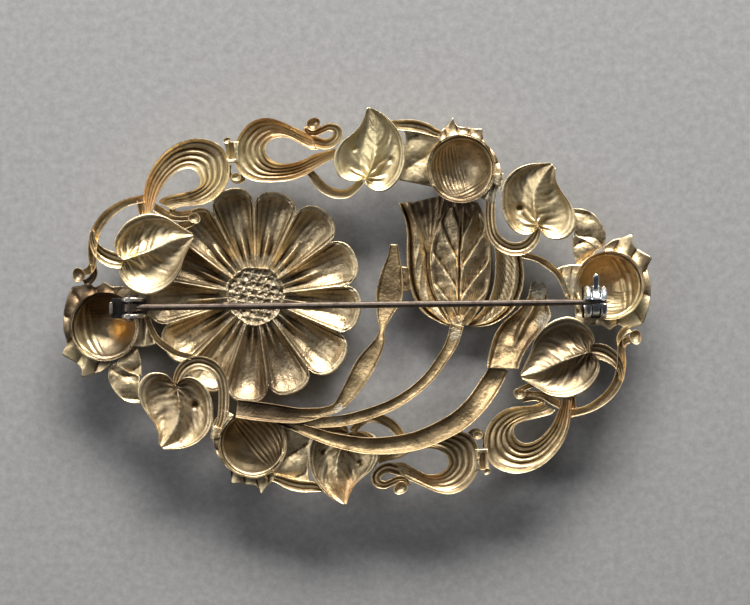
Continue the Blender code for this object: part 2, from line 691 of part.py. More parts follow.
def make_pin():
    """The steel pin: a flattened eye on the rivet, a round stem and a ground point."""
    profile = [
        (PIVOT_X + 0.6, PIN_RADIUS), (PIN_TIP_X - 7.5, PIN_RADIUS), (PIN_TIP_X - 4.2, 0.36),
        (PIN_TIP_X - 1.2, 0.2), (PIN_TIP_X, 0.06),
    ]
    pin = turned_along_x("pin_stem", profile, PIN_Y, PIN_Z, 12, STEEL, (PIVOT_X, PIN_Y, PIN_Z))
    low_y, high_y = PIN_Y - HEAD_THICK / 2, PIN_Y + HEAD_THICK / 2
    head = prism("pin_eye", circle(PIN_Z, PIVOT_X, 1.05, 20), low_y, high_y, "Y", STEEL)
    joined(pin, [head])
    outline = circle(PIN_Z, PIVOT_X, RIVET_RADIUS + RIVET_PLAY, 16)
    bore = prism("pin_bore", outline, PIN_Y - 1, PIN_Y + 1, "Y", STEEL)
    joined(pin, [bore], "DIFFERENCE")


def make_catch():
    """A sleeve slotted from above, and the barrel that turns in it."""
    low_x, high_x = CATCH_X - CATCH_LENGTH / 2, CATCH_X + CATCH_LENGTH / 2
    groove = (CATCH_X - BARREL_GAP / 2, CATCH_X + BARREL_GAP / 2)
    outline = circle(PIN_Y, PIN_Z, CATCH_RADIUS, 32, math.pi / 32)
    sleeve = prism("catch_sleeve", outline, low_x, high_x, "X", NICKEL)
    foot_low = (low_x - 0.2, PIN_Y - 2.3, BASE_Z)
    foot_high = (high_x + 0.2, PIN_Y + 2.3, BASE_Z + BASE_THICK)
    foot = box("catch_foot", foot_low, foot_high, NICKEL)
    joined(sleeve, [foot])
    reach = CATCH_RADIUS + 1
    bore = circle(PIN_Y, PIN_Z, BARREL_RADIUS + BARREL_PLAY, 24)
    half, top = CATCH_THROAT / 2, PIN_Z + reach
    cuts = [
        prism("barrel_bore", bore, low_x - 1, high_x + 1, "X", NICKEL),
        box("throat", (low_x - 1, PIN_Y - half, PIN_Z), (high_x + 1, PIN_Y + half, top), NICKEL),
        box("groove", (groove[0], PIN_Y - reach, PIN_Z - 2.1), (groove[1], PIN_Y + reach, top), NICKEL),
    ]
    joined(sleeve, cuts, "DIFFERENCE")

    outline = circle(PIN_Y, PIN_Z, BARREL_RADIUS, 24)
    barrel = prism("catch_barrel", outline, low_x + 0.1, high_x - 0.1, "X", NICKEL, (CATCH_X, PIN_Y, PIN_Z))
    side = (groove[0] + 0.06, groove[1] - 0.06)
    collar = prism("barrel_collar", circle(PIN_Y, PIN_Z, 2.0, 24, 0.1), side[0], side[1], "X", NICKEL)
    lever = []
    along = Vector((math.cos(LEVER_ANGLE), math.sin(LEVER_ANGLE)))
    across = Vector((-along.y, along.x))
    for reach_out, half in ((1.2, 0.32), (3.4, 0.32), (LEVER_REACH - 0.3, 0.3), (LEVER_REACH, 0.12)):
        lever.append(along * reach_out + across * half)
    for reach_out, half in ((LEVER_REACH, 0.12), (LEVER_REACH - 0.3, 0.3), (3.4, 0.32), (1.2, 0.32)):
        lever.append(along * reach_out - across * half)
    outline = [(PIN_Y + p.x, PIN_Z + p.y) for p in reversed(lever)]
    tongue = prism("barrel_lever", outline, side[0] + 0.1, side[1] - 0.1, "X", NICKEL)
    joined(barrel, [collar, tongue])
    cuts = [
        prism("pin_way", circle(PIN_Y, PIN_Z, 0.55, 16), low_x - 1, high_x + 1, "X", NICKEL),
        box("barrel_throat", (low_x - 1, PIN_Y - 0.4, PIN_Z), (high_x + 1, PIN_Y + 0.4, top), NICKEL),
    ]
    joined(barrel, cuts, "DIFFERENCE")


def main():
    for obj in list(bpy.data.objects):
        bpy.data.objects.remove(obj)
    make_wreath()
    make_daisy()
    make_boss()
    make_spray()
    make_hinge()
    make_pin()
    make_catch()


main()
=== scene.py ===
"""The brooch's finished surfaces, camera and light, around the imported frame. In millimetres."""

import math

import bmesh
import bpy
import numpy as np
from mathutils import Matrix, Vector, noise


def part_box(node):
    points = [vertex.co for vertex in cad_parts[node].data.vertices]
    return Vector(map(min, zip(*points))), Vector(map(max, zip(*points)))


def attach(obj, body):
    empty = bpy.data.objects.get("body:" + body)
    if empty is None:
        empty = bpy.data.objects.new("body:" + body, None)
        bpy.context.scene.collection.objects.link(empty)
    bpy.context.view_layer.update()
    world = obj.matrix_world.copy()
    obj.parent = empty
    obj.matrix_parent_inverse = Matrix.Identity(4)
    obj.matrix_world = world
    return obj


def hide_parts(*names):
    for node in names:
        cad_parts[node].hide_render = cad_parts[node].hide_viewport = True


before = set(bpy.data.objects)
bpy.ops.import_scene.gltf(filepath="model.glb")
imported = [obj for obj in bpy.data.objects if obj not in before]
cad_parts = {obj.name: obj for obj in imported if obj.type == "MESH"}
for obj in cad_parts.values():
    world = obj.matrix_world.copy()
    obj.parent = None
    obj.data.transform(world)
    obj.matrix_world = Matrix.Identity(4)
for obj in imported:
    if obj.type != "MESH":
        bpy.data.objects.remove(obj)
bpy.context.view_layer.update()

MM = 0.001
SHEET = 0.5  # the metal's thickness
RIM_Z = 6.0  # the wreath's edges, which rise and fall by DOME
DOME = 0.5
HALF_LENGTH = 42.0
HALF_WIDTH = 28.0
OVERLAP = 0.94  # a lower sheet is cut away inside this share of the outline of the one over it
BUD_RADIUS = 4.9
CUP_FLOOR = 1.7  # of the hollows behind the buds
PIN_Y, PIN_Z = 0.15, 8.9  # the line that the pin lies on when closed
CATCH_X = 33.75  # the middle of the catch
EAR_THICK = 0.6
CAMERA_HEIGHT = 400.0
PICTURE_WIDTH = 106.84  # what the picture spans at the wreath's rim
PICTURE_CENTRE = (2.57, 0.47)
PICTURE_TURN = -0.71  # degrees
SENSOR = 36.0


# ---- curves and profiles


def spline(points, count):
    """count points, evenly spaced in XY, on a Catmull-Rom curve through the given points."""
    p = np.array(points, float)
    ends = np.vstack([p[:1], p, p[-1:]])
    t = np.linspace(0, 1, 16, endpoint=False)[:, None]
    fine = []
    for a, b, c, d in zip(ends, ends[1:], ends[2:], ends[3:]):
        square, cube = 2 * a - 5 * b + 4 * c - d, 3 * b - a - 3 * c + d
        fine.append(0.5 * (2 * b + (c - a) * t + square * t**2 + cube * t**3))
    fine = np.vstack(fine + [p[-1:]])
    walked = np.concatenate([[0], np.cumsum(np.hypot(*np.diff(fine[:, :2], axis=0).T))])
    want = np.linspace(0, walked[-1], count)
    return np.stack([np.interp(want, walked, column) for column in fine.T], axis=1)


def smooth(v):
    v = np.clip(v, 0, 1)
    return v * v * (3 - 2 * v)


def rim(x, y):
    return RIM_Z + DOME * ((x / HALF_LENGTH) ** 2 + (y / HALF_WIDTH) ** 2 - 0.5)


# ---- sheets


def net(rows, cols, closed=False):
    i, j = np.meshgrid(np.arange(rows - 1), np.arange(cols if closed else cols - 1), indexing="ij")
    a = i * cols + j
    b = i * cols + (j + 1) % cols
    return np.stack([a, b, b + cols, a + cols], axis=-1).reshape(-1, 4)


def lumps(x, y, scale, seed=0.0):
    """Smooth noise between about -1 and 1."""
    flat = [noise.noise(Vector((a * scale, b * scale, seed))) for a, b in zip(x.ravel(), y.ravel())]
    return np.array(flat).reshape(x.shape)


def ripple(points):
    """The unevenness of hand-cut dies."""
    x, y = points[:, 0], points[:, 1]
    points[:, 2] += 0.09 * lumps(x, y, 0.45) + 0.012 * lumps(x, y, 2.3, 5.0)
    return points


def sheet(x, y, z, closed=False):
    """Points, faces and outline of a grid of points."""
    points = ripple(np.dstack([x, y, z]).reshape(-1, 3))
    rows, cols = x.shape
    place = np.arange(rows * cols).reshape(rows, cols)
    border = place[-1]
    if not closed:
        border = np.concatenate([place[0], place[1:, -1], place[-1, -2::-1], place[-2:0:-1, 0]])
    return points, net(rows, cols, closed), points[border, :2]


def grid(rows, cols):
    """For each point, how far along (0 to 1) and how far across (-1 to 1) its sheet it is."""
    return np.meshgrid(np.linspace(0, 1, rows), np.linspace(-1, 1, cols), indexing="ij")


def ruled(edges, rows, cols, relief):
    """A sheet between two or three edge curves. relief(s, t, x, y) is z: s along, t from -1 to 1 across."""
    curves = [spline(edge, rows) for edge in edges]
    t = np.linspace(-1, 1, cols)
    place = (t + 1) / 2 * (len(curves) - 1)
    k = np.minimum(place.astype(int), len(curves) - 2)
    share = (place - k)[None, :]
    stack = np.stack(curves)[:, :, :2]
    near, far = stack[k].transpose(1, 0, 2), stack[k + 1].transpose(1, 0, 2)
    xy = near * (1 - share[..., None]) + far * share[..., None]
    x, y = xy[..., 0], xy[..., 1]
    return sheet(x, y, relief(*grid(rows, cols), x, y))


def ribbon(path, rows, cols, relief):
    """A sheet along a path of (x, y, half width, z). relief(s, t) is added to z."""
    middle = spline([p if len(p) == 4 else (*p, rim(p[0], p[1]) - 0.12) for p in path], rows)
    along = np.gradient(middle[:, :2], axis=0)
    along /= np.linalg.norm(along, axis=1)[:, None]
    across = np.stack([along[:, 1], -along[:, 0]], axis=1)
    t = np.linspace(-1, 1, cols)
    xy = middle[:, None, :2] + across[:, None] * (middle[:, None, 2] * t)[..., None]
    return sheet(xy[..., 0], xy[..., 1], middle[:, 3:4] + relief(*grid(rows, cols)))


def polar(centre, reach, rings, spokes, relief, hole=0.0):
    """A round sheet. reach(angle) is its outline; relief(r, angle, x, y) is z with r from 0 to 1."""
    angle = np.linspace(0, 2 * math.pi, spokes, endpoint=False)[None, :]
    r = np.linspace(0.0 if hole else 0.01, 1, rings)[:, None]
    distance = hole + (reach(angle) - hole) * r
    x = centre[0] + distance * np.cos(angle)
    y = centre[1] + distance * np.sin(angle)
    return sheet(x, y, relief(r * np.ones_like(angle), angle * np.ones_like(r), x, y), closed=True)


def within(xy, outline):
    """Which points lie inside a closed outline."""
    a, b = outline, np.roll(outline, -1, axis=0)
    inside = np.zeros(len(xy), bool)
    for (ax, ay), (bx, by) in zip(a, b):
        if ay == by:
            continue
        spans = (xy[:, 1] > min(ay, by)) & (xy[:, 1] <= max(ay, by))
        inside ^= spans & (xy[:, 0] < ax + (xy[:, 1] - ay) * (bx - ax) / (by - ay))
    return inside


def layered(groups):
    """Cuts each sheet away where a sheet of an earlier group lies over it."""
    over, result = [], []
    for group in groups:
        cut = []
        for points, faces, outline in group:
            hidden = np.zeros(len(points), bool)
            low, high = outline.min(0), outline.max(0)
            for other in over:
                if (other.min(0) < high).all() and (other.max(0) > low).all():
                    hidden |= within(points[:, :2], other)
            kept = faces[~hidden[faces].all(axis=1)]
            used = np.unique(kept)
            if len(used):
                cut.append((points[used], np.searchsorted(used, kept), outline))
        result.append(cut)
        for _, _, outline in group:
            middle = outline.mean(axis=0)
            over.append(middle + (outline - middle) * OVERLAP)
    return result


def turned(part):
    """The same sheet half a turn about Z."""
    points, faces, outline = part
    return points * [-1, -1, 1], faces, -outline


# ---- reliefs


def bead(v, at, width):
    return np.exp(-(((v - at) / width) ** 2))


def wave(v, sharp=1.5):
    return (0.5 + 0.5 * np.cos(2 * math.pi * v)) ** sharp


def leaf_relief(depth, veins, lean):
    """Two hollow lobes beside a raised midrib, veined, inside a rolled lip."""

    def relief(s, t, x, y):
        a = np.abs(t)
        wall = 1 - np.clip((a - 0.4) / 0.52, 0, 1) ** 2.0
        inner = 0.3 + 0.7 * smooth(a / 0.4)
        swell = np.sin(math.pi * np.clip(s, 0.001, 1) ** 0.62) ** 0.8
        z = rim(x, y) - depth * wall * inner * swell
        z += 0.2 * bead(a, 0, 0.06) * swell * (1 - 0.7 * s)
        bent = s - lean * a - 0.12 * a * a
        strong = 0.5 + 0.5 * lumps(x, y, 0.35, 9.0)
        sides = smooth((a - 0.02) / 0.15) * smooth((0.82 - a) / 0.4)
        z += 0.2 * strong * wave(bent * veins, 4.0) * sides * swell
        z += 0.07 * strong * wave(bent * veins * 3 + 1.3 * a, 1.6) * smooth((0.85 - a) / 0.3) * swell
        away = np.hypot(s, 0.55 * a)
        fan = wave(np.arctan2(a, 2.4 * s + 0.05) * 2.6 + 0.25 * lumps(x, y, 0.5, 2.0), 2.2)
        folds = fan * smooth((away - 0.05) / 0.12) * (1 - smooth((away - 0.2) / 0.35))
        z += 0.34 * folds * smooth((0.85 - a) / 0.3)
        lip = smooth(s / 0.1) * smooth((1 - s) / 0.06)
        return z - 0.16 * bead(a, 0.9, 0.022) * lip + 0.1 * bead(a, 0.84, 0.03) * lip

    return relief


def bud_relief(centre, ribs):
    """A round cup with fans of ribs, each as (pole in degrees, side, count, height, where it starts)."""

    def relief(r, angle, x, y):
        u, v = (x - centre[0]) / BUD_RADIUS, (y - centre[1]) / BUD_RADIUS
        level = rim(*centre)
        z = level - (level - CUP_FLOOR) * (1 - r**2.2) ** 0.75
        uneven = lumps(x, y, 0.4, 3.0)
        for pole, side, count, height, start in ribs:
            c, s = math.cos(math.radians(pole)), math.sin(math.radians(pole))
            along = u * c + v * s
            across = side * (v * c - u * s)
            across = across / np.sqrt(np.clip(1 - along**2, 0.02, 1))
            shown = smooth((across - start) / 0.15) * smooth((0.95 - across) / 0.1)
            shown = shown * smooth((0.97 - np.abs(along)) / 0.3)
            ridge = height * (0.8 + 0.5 * uneven) * wave(across * count + 0.15 * uneven, 1.3)
            z += ridge * shown * smooth((0.93 - r) / 0.08)
        z += 0.1 * lumps(x, y, 0.8, 7.0) * smooth((0.97 - r) / 0.1)
        return z - 0.2 * bead(r, 0.925, 0.02) + 0.12 * bead(r, 0.87, 0.03)

    return relief


def bud_domes(points):
    """The cups' outer faces: deeper domes than the hollows behind them."""
    for cx, cy in (END_BUD, TOP_BUD, (-END_BUD[0], -END_BUD[1]), (-TOP_BUD[0], -TOP_BUD[1])):
        r = np.hypot(points[:, 0] - cx, points[:, 1] - cy) / BUD_RADIUS
        near = (r < 0.995) & (points[:, 3] > 0)
        dome = rim(cx, cy) - SHEET - (rim(cx, cy) - SHEET - 0.02) * (1 - np.minimum(r, 1.0) ** 2.6) ** 0.62
        points[near, 2] = np.minimum(points[near, 2], dome[near])
    return points[:, :3]


def scroll_relief(s, t, x, y):
    """A trough fluted along its length, wider flutes outside."""
    body = np.sin(math.pi * np.clip(s, 0.02, 0.98)) ** 0.6
    z = rim(x, y) - 0.05 - 1.35 * (1 - np.abs(t) ** 3.2) * (0.5 + 0.5 * body)
    lively = 0.75 + 0.6 * lumps(x, y, 0.3, 8.0)
    place = ((t + 1) / 2) ** 1.2 * 5 + 0.25 * np.sin(5 * s) + 0.35 * lumps(x, y, 0.16, 3.0)
    z += 0.4 * lively * wave(place, 1.0) * (1 - np.abs(t) ** 5) * body
    return z + 0.08 * bead(np.abs(t), 0.86, 0.05)


def gutter(depth, ridges=0, sharp=2.4, lip=0.0):
    """A trough, with ridges along its floor or a lip along its edges."""

    def relief(s, t, *_):
        a = np.abs(t)
        z = -depth * (1 - a**sharp) + lip * (bead(a, 0.9, 0.07) - bead(a, 0.72, 0.09))
        if ridges:
            z = z + 0.2 * wave((t + 1) / 2 * (ridges + 1), 1.5) * (1 - a**6)
        return z

    return relief


def ball_relief(centre, depth):
    def relief(r, angle, x, y):
        return rim(*centre) + 0.1 - depth * (1 - r**2.4)

    return relief


def sepal_relief(s, t, x, y):
    out = (t + 1) / 2
    fold = np.abs(np.sin(math.pi * (s * 6.5 + 0.2 * out))) ** 0.7
    flare = 0.3 * np.sin(math.pi * out) + 0.5 * out**1.5
    return rim(x, y) - 0.15 - flare - 0.5 * (1 - fold) * smooth(out / 0.3)


def web_relief(drop, ridges):
    """Rough metal left between two motifs, a drop below the rim."""

    def relief(s, t, x, y):
        grain = 0.12 * lumps(x, y, 0.7, 4.0) + 0.04 * lumps(x, y, 2.4, 6.0)
        folds = np.abs(np.sin(math.pi * (s * ridges * 0.6 + 0.45 * t))) * (1 - np.abs(t) ** 4)
        return rim(x, y) - drop + 0.35 * np.abs(t) ** 6 + 0.352 * folds + grain

    return relief


# ---- the wreath's outlines

LEAF_BY_DAISY = (
    [(-34.1, 7.7), (-34.5, 9.2), (-34.1, 10.6), (-33.0, 12.1), (-31.6, 13.0), (-29.9, 13.5),
     (-28.3, 13.4), (-27.0, 13.0), (-25.8, 12.2), (-23.4, 10.7)],
    [(-33.2, 7.0), (-32.0, 7.3), (-30.0, 8.0), (-28.0, 8.8), (-26.0, 9.7), (-23.2, 10.3)],
    [(-33.2, 6.5), (-33.8, 5.4), (-33.5, 4.2), (-32.6, 3.0), (-31.3, 2.2), (-29.8, 1.9), (-28.0, 2.4),
     (-26.4, 3.5), (-25.2, 5.2), (-24.5, 7.2), (-23.2, 9.9)],
)
LEAF_AT_TOP = (
    [(1.0, 18.0), (-0.2, 17.8), (-1.4, 18.0), (-2.5, 18.7), (-3.0, 20.2), (-2.9, 21.8), (-2.0, 23.3),
     (-0.6, 24.4), (0.5, 25.4), (1.2, 26.6), (1.8, 28.2)],
    [(1.4, 18.0), (2.2, 19.5), (2.8, 21.2), (3.1, 23.0), (3.0, 25.2), (2.0, 28.3)],
    [(1.5, 17.4), (2.3, 16.6), (3.6, 16.25), (4.9, 16.7), (6.2, 18.0), (7.0, 19.8), (7.2, 21.6),
     (6.9, 23.5), (6.1, 25.1), (4.9, 26.6), (3.6, 27.6), (2.3, 28.2)],
)
LEAF_AT_SHOULDER = (
    [(25.8, 10.8), (25.0, 10.0), (23.8, 9.8), (22.6, 10.3), (21.6, 11.4), (20.9, 13.0), (20.7, 15.0),
     (20.9, 16.8), (21.8, 18.3), (23.2, 19.4), (24.9, 19.95), (26.6, 20.05), (27.9, 20.0)],
    [(26.0, 11.0), (25.6, 12.6), (25.4, 14.6), (25.8, 16.4), (26.8, 18.2), (28.1, 19.8)],
    [(26.3, 10.5), (27.2, 9.5), (28.5, 9.1), (29.9, 9.3), (31.0, 10.3), (31.4, 11.8), (31.0, 13.5),
     (30.1, 15.0), (29.2, 16.3), (28.6, 17.6), (28.5, 19.3)],
)
END_BUD = (-36.0, -2.5)
TOP_BUD = (15.1, 19.4)
END_BUD_RIBS = ((104, 1, 5, 0.2, 0.32), (-6, 1, 9, 0.1, 0.1))
TOP_BUD_RIBS = ((-77, -1, 9, 0.12, -0.15), (29, -1, 9, 0.12, 0.5))
LOW_BUD_RIBS = ((128, -1, 7, 0.26, -0.3),)
END_SEPALS = [
    (-34.2, 3.1), (-35.1, 3.3), (-36.0, 3.85), (-36.7, 3.4), (-37.5, 3.2), (-38.2, 3.75), (-39.4, 3.4),
    (-40.6, 3.2), (-41.4, 1.4), (-41.9, -0.6), (-41.9, -2.8), (-41.5, -4.8), (-42.1, -6.3),
    (-41.2, -7.0), (-40.0, -7.8), (-39.4, -8.6), (-39.3, -9.7), (-37.9, -9.3), (-36.5, -8.9),
    (-35.2, -7.9),
]
TOP_SEPALS = [
    (20.9, 18.3), (20.7, 19.6), (20.2, 21.0), (19.3, 22.3), (18.3, 23.6), (18.2, 25.0), (17.2, 25.1),
    (16.0, 25.3), (14.8, 25.45), (14.2, 26.0), (14.0, 26.7), (13.4, 25.9), (12.5, 25.0), (11.7, 24.0),
]
LOW_SCROLL = (
    [(-30.5, 13.0), (-30.3, 15.0), (-30.1, 17.0), (-29.4, 19.2), (-28.3, 21.0), (-26.8, 22.5),
     (-25.0, 23.6), (-22.8, 24.15), (-20.8, 23.9), (-19.1, 23.0), (-18.2, 21.5), (-17.9, 19.8),
     (-18.1, 18.2), (-18.9, 16.7), (-20.1, 15.5), (-21.6, 14.8), (-23.2, 14.6), (-24.8, 14.5),
     (-26.2, 14.0)],
    [(-29.2, 13.3), (-28.9, 14.4), (-28.4, 15.6), (-27.9, 16.7), (-27.0, 18.0), (-26.0, 19.0),
     (-24.9, 19.65), (-23.7, 19.85), (-22.7, 19.4), (-22.15, 18.5), (-22.2, 17.6), (-22.8, 16.95),
     (-23.8, 16.6), (-24.9, 16.4), (-26.0, 16.15), (-27.0, 15.9), (-27.7, 15.6), (-28.1, 15.2)],
)
HIGH_SCROLL = (
    [(-6.0, 24.2), (-7.3, 25.0), (-8.7, 25.6), (-10.2, 26.3), (-11.8, 26.85), (-13.4, 26.9),
     (-15.0, 26.25), (-16.2, 25.0), (-17.0, 23.4), (-17.2, 21.6), (-16.9, 19.9), (-16.0, 18.7),
     (-14.5, 18.0), (-12.8, 17.8), (-11.0, 17.8), (-9.4, 18.0), (-8.0, 18.4), (-6.8, 18.9),
     (-5.4, 19.8), (-4.2, 20.5), (-2.8, 21.1)],
    [(-5.2, 22.4), (-6.2, 22.35), (-7.2, 22.85), (-8.4, 23.55), (-9.7, 24.1), (-11.1, 24.1),
     (-12.1, 23.6), (-12.7, 22.8), (-12.65, 22.0), (-12.2, 21.2), (-11.3, 20.65), (-10.2, 20.4),
     (-9.0, 20.5), (-7.8, 20.8), (-6.8, 21.2), (-5.9, 21.7), (-4.6, 22.0), (-2.8, 22.5)],
)
TENDRILS = (
    ([(-38.9, 5.2, 0.5), (-38.0, 5.6, 0.55), (-37.6, 6.6, 0.55), (-37.6, 8.8, 0.65), (-37.1, 11.0, 0.7),
      (-35.9, 12.9, 0.7), (-34.2, 14.3, 0.65), (-32.4, 15.2, 0.55), (-30.1, 15.7, 0.55)], 0),
    ([(-37.6, 11.2, 0.3), (-37.5, 9.7, 0.5), (-36.8, 8.3, 0.85), (-35.6, 7.35, 1.1), (-34.4, 6.9, 1.15),
      (-33.3, 6.8, 1.0)], 2),
    ([(-37.5, 6.4, 0.4), (-37.4, 5.0, 0.45), (-38.0, 4.1, 0.5), (-38.8, 3.6, 0.6)], 0),
    ([(-30.7, 15.4, 0.5), (-30.4, 12.9, 0.45)], 0),
    ([(-29.4, 14.9, 0.45), (-28.0, 14.0, 0.6), (-26.4, 13.1, 0.5), (-24.9, 12.8, 0.4),
      (-23.6, 12.9, 0.4)], 0),
    ([(-26.0, 14.3, 0.45), (-26.2, 13.7, 0.4), (-25.0, 13.4, 0.4), (-23.4, 13.6, 0.45)], 0),
    ([(-24.9, 11.5, 0.4), (-23.9, 11.9, 0.4), (-23.1, 12.3, 0.4)], 0),
    ([(-17.7, 23.6, 0.4), (-17.6, 22.4, 0.55), (-17.5, 21.0, 0.6)], 0),
    ([(-17.9, 20.4, 0.3), (-18.0, 19.3, 0.3), (-17.5, 18.4, 0.4), (-16.6, 18.1, 0.5), (-15.9, 18.6, 0.5)], 0),
    ([(-6.4, 23.7, 0.8), (-5.4, 23.4, 0.8), (-4.2, 23.1, 0.75), (-3.1, 23.5, 0.7), (-2.45, 24.3, 0.7),
      (-2.6, 25.2, 0.65), (-3.6, 25.55, 0.55), (-4.6, 25.2, 0.5), (-5.6, 24.8, 0.5), (-6.6, 24.9, 0.45),
      (-6.9, 25.7, 0.4)], 1),
    ([(-6.7, 19.4, 0.4), (-6.1, 18.7, 0.6), (-5.3, 17.6, 0.7), (-4.3, 16.7, 0.7), (-2.8, 16.05, 0.7),
      (-1.2, 16.1, 0.65), (0.0, 16.9, 0.55), (0.9, 17.9, 0.5)], 0),
    ([(5.2, 25.9, 0.5), (6.6, 25.7, 0.75), (8.3, 25.6, 0.85), (10.0, 25.2, 0.8), (11.4, 24.6, 0.6),
      (12.4, 24.3, 0.5)], 1),
    ([(20.0, 17.4, 0.6), (19.4, 15.8, 0.7), (19.15, 13.5, 0.75), (19.2, 11.5, 0.75), (19.6, 9.8, 0.8),
      (20.7, 8.5, 0.9), (22.4, 7.8, 0.95), (24.1, 8.1, 0.95), (25.3, 9.2, 0.8), (26.0, 10.8, 0.5)], 2),
    ([(23.6, 7.0, 0.4), (25.8, 6.4, 0.45), (27.4, 5.4, 0.5), (28.7, 4.2, 0.45), (29.5, 2.6, 0.4),
      (30.1, 1.0, 0.4)], 0),
)
BALLS = (
    (-39.6, 4.9, 0.95), (-23.0, 12.8, 0.8), (-18.2, 23.8, 0.5), (-17.0, 18.6, 0.65), (-5.9, 26.0, 0.95),
)
WEBS = (
    (([(-18.7, 23.7), (-18.4, 22.2), (-18.4, 20.6)],
      [(-16.5, 23.6), (-16.7, 22.2), (-16.6, 20.6)]), 0.3, 1),
    (([(17.6, 15.4), (18.7, 16.6), (19.7, 18.0), (20.0, 19.4)],
      [(19.1, 14.5), (20.3, 15.8), (20.9, 17.0), (21.1, 18.6)]), 0.35, 1),
    (([(6.9, 25.3), (7.2, 23.6), (7.0, 21.4), (6.8, 19.5), (6.2, 17.9)],
      [(12.5, 23.7), (11.6, 22.7), (10.9, 20.9), (10.8, 18.7), (11.4, 16.8)]), 1.0, 3),
    (([(30.9, 13.5), (32.4, 13.4), (33.8, 12.8), (34.9, 11.5), (35.6, 9.9), (35.4, 8.2)],
      [(31.0, 12.6), (31.2, 11.6), (31.2, 10.6), (31.2, 9.6), (32.8, 8.9), (34.6, 7.6)]), 0.9, 2),
    (([(30.8, 9.6), (30.9, 7.6), (31.4, 5.6)],
      [(34.9, 8.3), (33.9, 7.0), (33.0, 5.4)]), 1.0, 2),
    (([(28.6, 5.0), (30.2, 5.5), (32.3, 5.5)],
      [(30.0, 0.6), (31.0, -0.4), (32.0, -1.2)]), 0.9, 4),
    (([(-35.0, 3.1), (-33.2, 3.2), (-31.2, 2.6)],
      [(-33.6, 1.0), (-32.4, 0.2), (-31.0, -0.8)]), 0.9, 2),
)
PITS = ((23.4, 13.8, 0.42, 0.9), (-0.1, 22.4, 0.35, 0.3), (5.1, 20.8, 0.4, 0.3))


def pitted(part):
    """Small round dents, pressed by hand."""
    points, faces, outline = part
    for x, y, radius, depth in PITS:
        points[:, 2] -= depth * np.exp(-((points[:, 0] - x) ** 2 + (points[:, 1] - y) ** 2) / radius**2)
    return points, faces, outline


def cup_arc(centre, first, last, reach, count):
    angles = np.radians(np.linspace(first, last, count))
    return [(centre[0] + reach * math.cos(a), centre[1] + reach * math.sin(a)) for a in angles]


def ball_outline(radius, turn):
    """Not quite round."""
    return lambda angle: radius * (1 + 0.1 * np.sin(2 * angle + turn) + 0.05 * np.sin(3 * angle - turn))


def wreath_layers():
    """Sheets in groups from the topmost down: all the buds, then one half of everything else."""
    low_bud = (-TOP_BUD[0], -TOP_BUD[1])
    cups = (END_BUD, END_BUD_RIBS), (TOP_BUD, TOP_BUD_RIBS), (low_bud, LOW_BUD_RIBS)
    end, top, low = [
        polar(at, lambda angle: BUD_RADIUS, 52, 150, bud_relief(at, ribs)) for at, ribs in cups
    ]
    buds = [end, turned(end), top, low]
    balls = [
        polar((x, y), ball_outline(r, x), 12, 32, ball_relief((x, y), 0.75 * r)) for x, y, r in BALLS
    ]
    leaves = [
        ruled(LEAF_BY_DAISY, 98, 67, leaf_relief(1.55, 5, 0.45)),
        pitted(ruled(LEAF_AT_TOP, 98, 67, leaf_relief(1.3, 4, 0.6))),
        pitted(ruled(LEAF_AT_SHOULDER, 98, 67, leaf_relief(1.55, 4, 0.5))),
    ]
    sepals = [
        ruled((cup_arc(END_BUD, 72, 276, BUD_RADIUS * 0.95, 9), END_SEPALS), 170, 14, sepal_relief),
        ruled((cup_arc(TOP_BUD, -14, 127, BUD_RADIUS * 0.95, 9), TOP_SEPALS), 130, 14, sepal_relief),
    ]
    scrolls = [ruled(LOW_SCROLL, 200, 45, scroll_relief), ruled(HIGH_SCROLL, 230, 45, scroll_relief)]
    tendrils = [ribbon(path, 72, 15, gutter(0.75, ridges)) for path, ridges in TENDRILS]
    webs = [ruled(edges, 40, 28, web_relief(drop, ridges)) for edges, drop, ridges in WEBS]
    return buds, balls, leaves, scrolls, sepals, tendrils, webs


# ---- meshes


def add_mesh(name, points, faces, material, sharp=None):
    mesh = bpy.data.meshes.new(name)
    corners = faces if isinstance(faces, list) else faces.tolist()
    mesh.from_pydata((np.asarray(points) * MM).tolist(), [], corners)
    mesh.shade_smooth()
    if sharp:
        mesh.set_sharp_from_angle(angle=math.radians(sharp))
    mesh.materials.append(material)
    obj = bpy.data.objects.new(name, mesh)
    bpy.context.scene.collection.objects.link(obj)
    mark_bends(mesh)
    return obj


def read(collection, name, kind=np.float32, width=3):
    values = np.zeros(len(collection) * width, kind)
    collection.foreach_get(name, values)
    return values.reshape(-1, width)


def store(mesh, name, value):
    mesh.attributes.new(name, "FLOAT", "POINT").data.foreach_set("value", value.astype(np.float32))


def mark_bends(mesh):
    """Stores how proud of its neighbours (bend) and how sunken (hollow) each point is, for the wear."""
    count = len(mesh.vertices)
    co = read(mesh.vertices, "co")
    no = read(mesh.vertex_normals, "vector")
    a, b = read(mesh.edges, "vertices", np.int32, 2).T
    degree = np.bincount(a, minlength=count) + np.bincount(b, minlength=count)

    def around(value):
        return np.bincount(a, value[b], count) + np.bincount(b, value[a], count)

    def spread(value, times):
        for _ in range(times):
            value = 0.5 * value + 0.5 * around(value) / degree
        return value

    mean = np.stack([around(co[:, k]) for k in range(3)], 1) / degree[:, None]
    proud = spread(((co - mean) * no).sum(1) / MM, 2)
    store(mesh, "bend", np.clip(proud / 0.02, -1, 1))
    below = spread(co[:, 2], 40) - co[:, 2]
    store(mesh, "hollow", np.clip(below / (0.25 * MM), -1, 1))


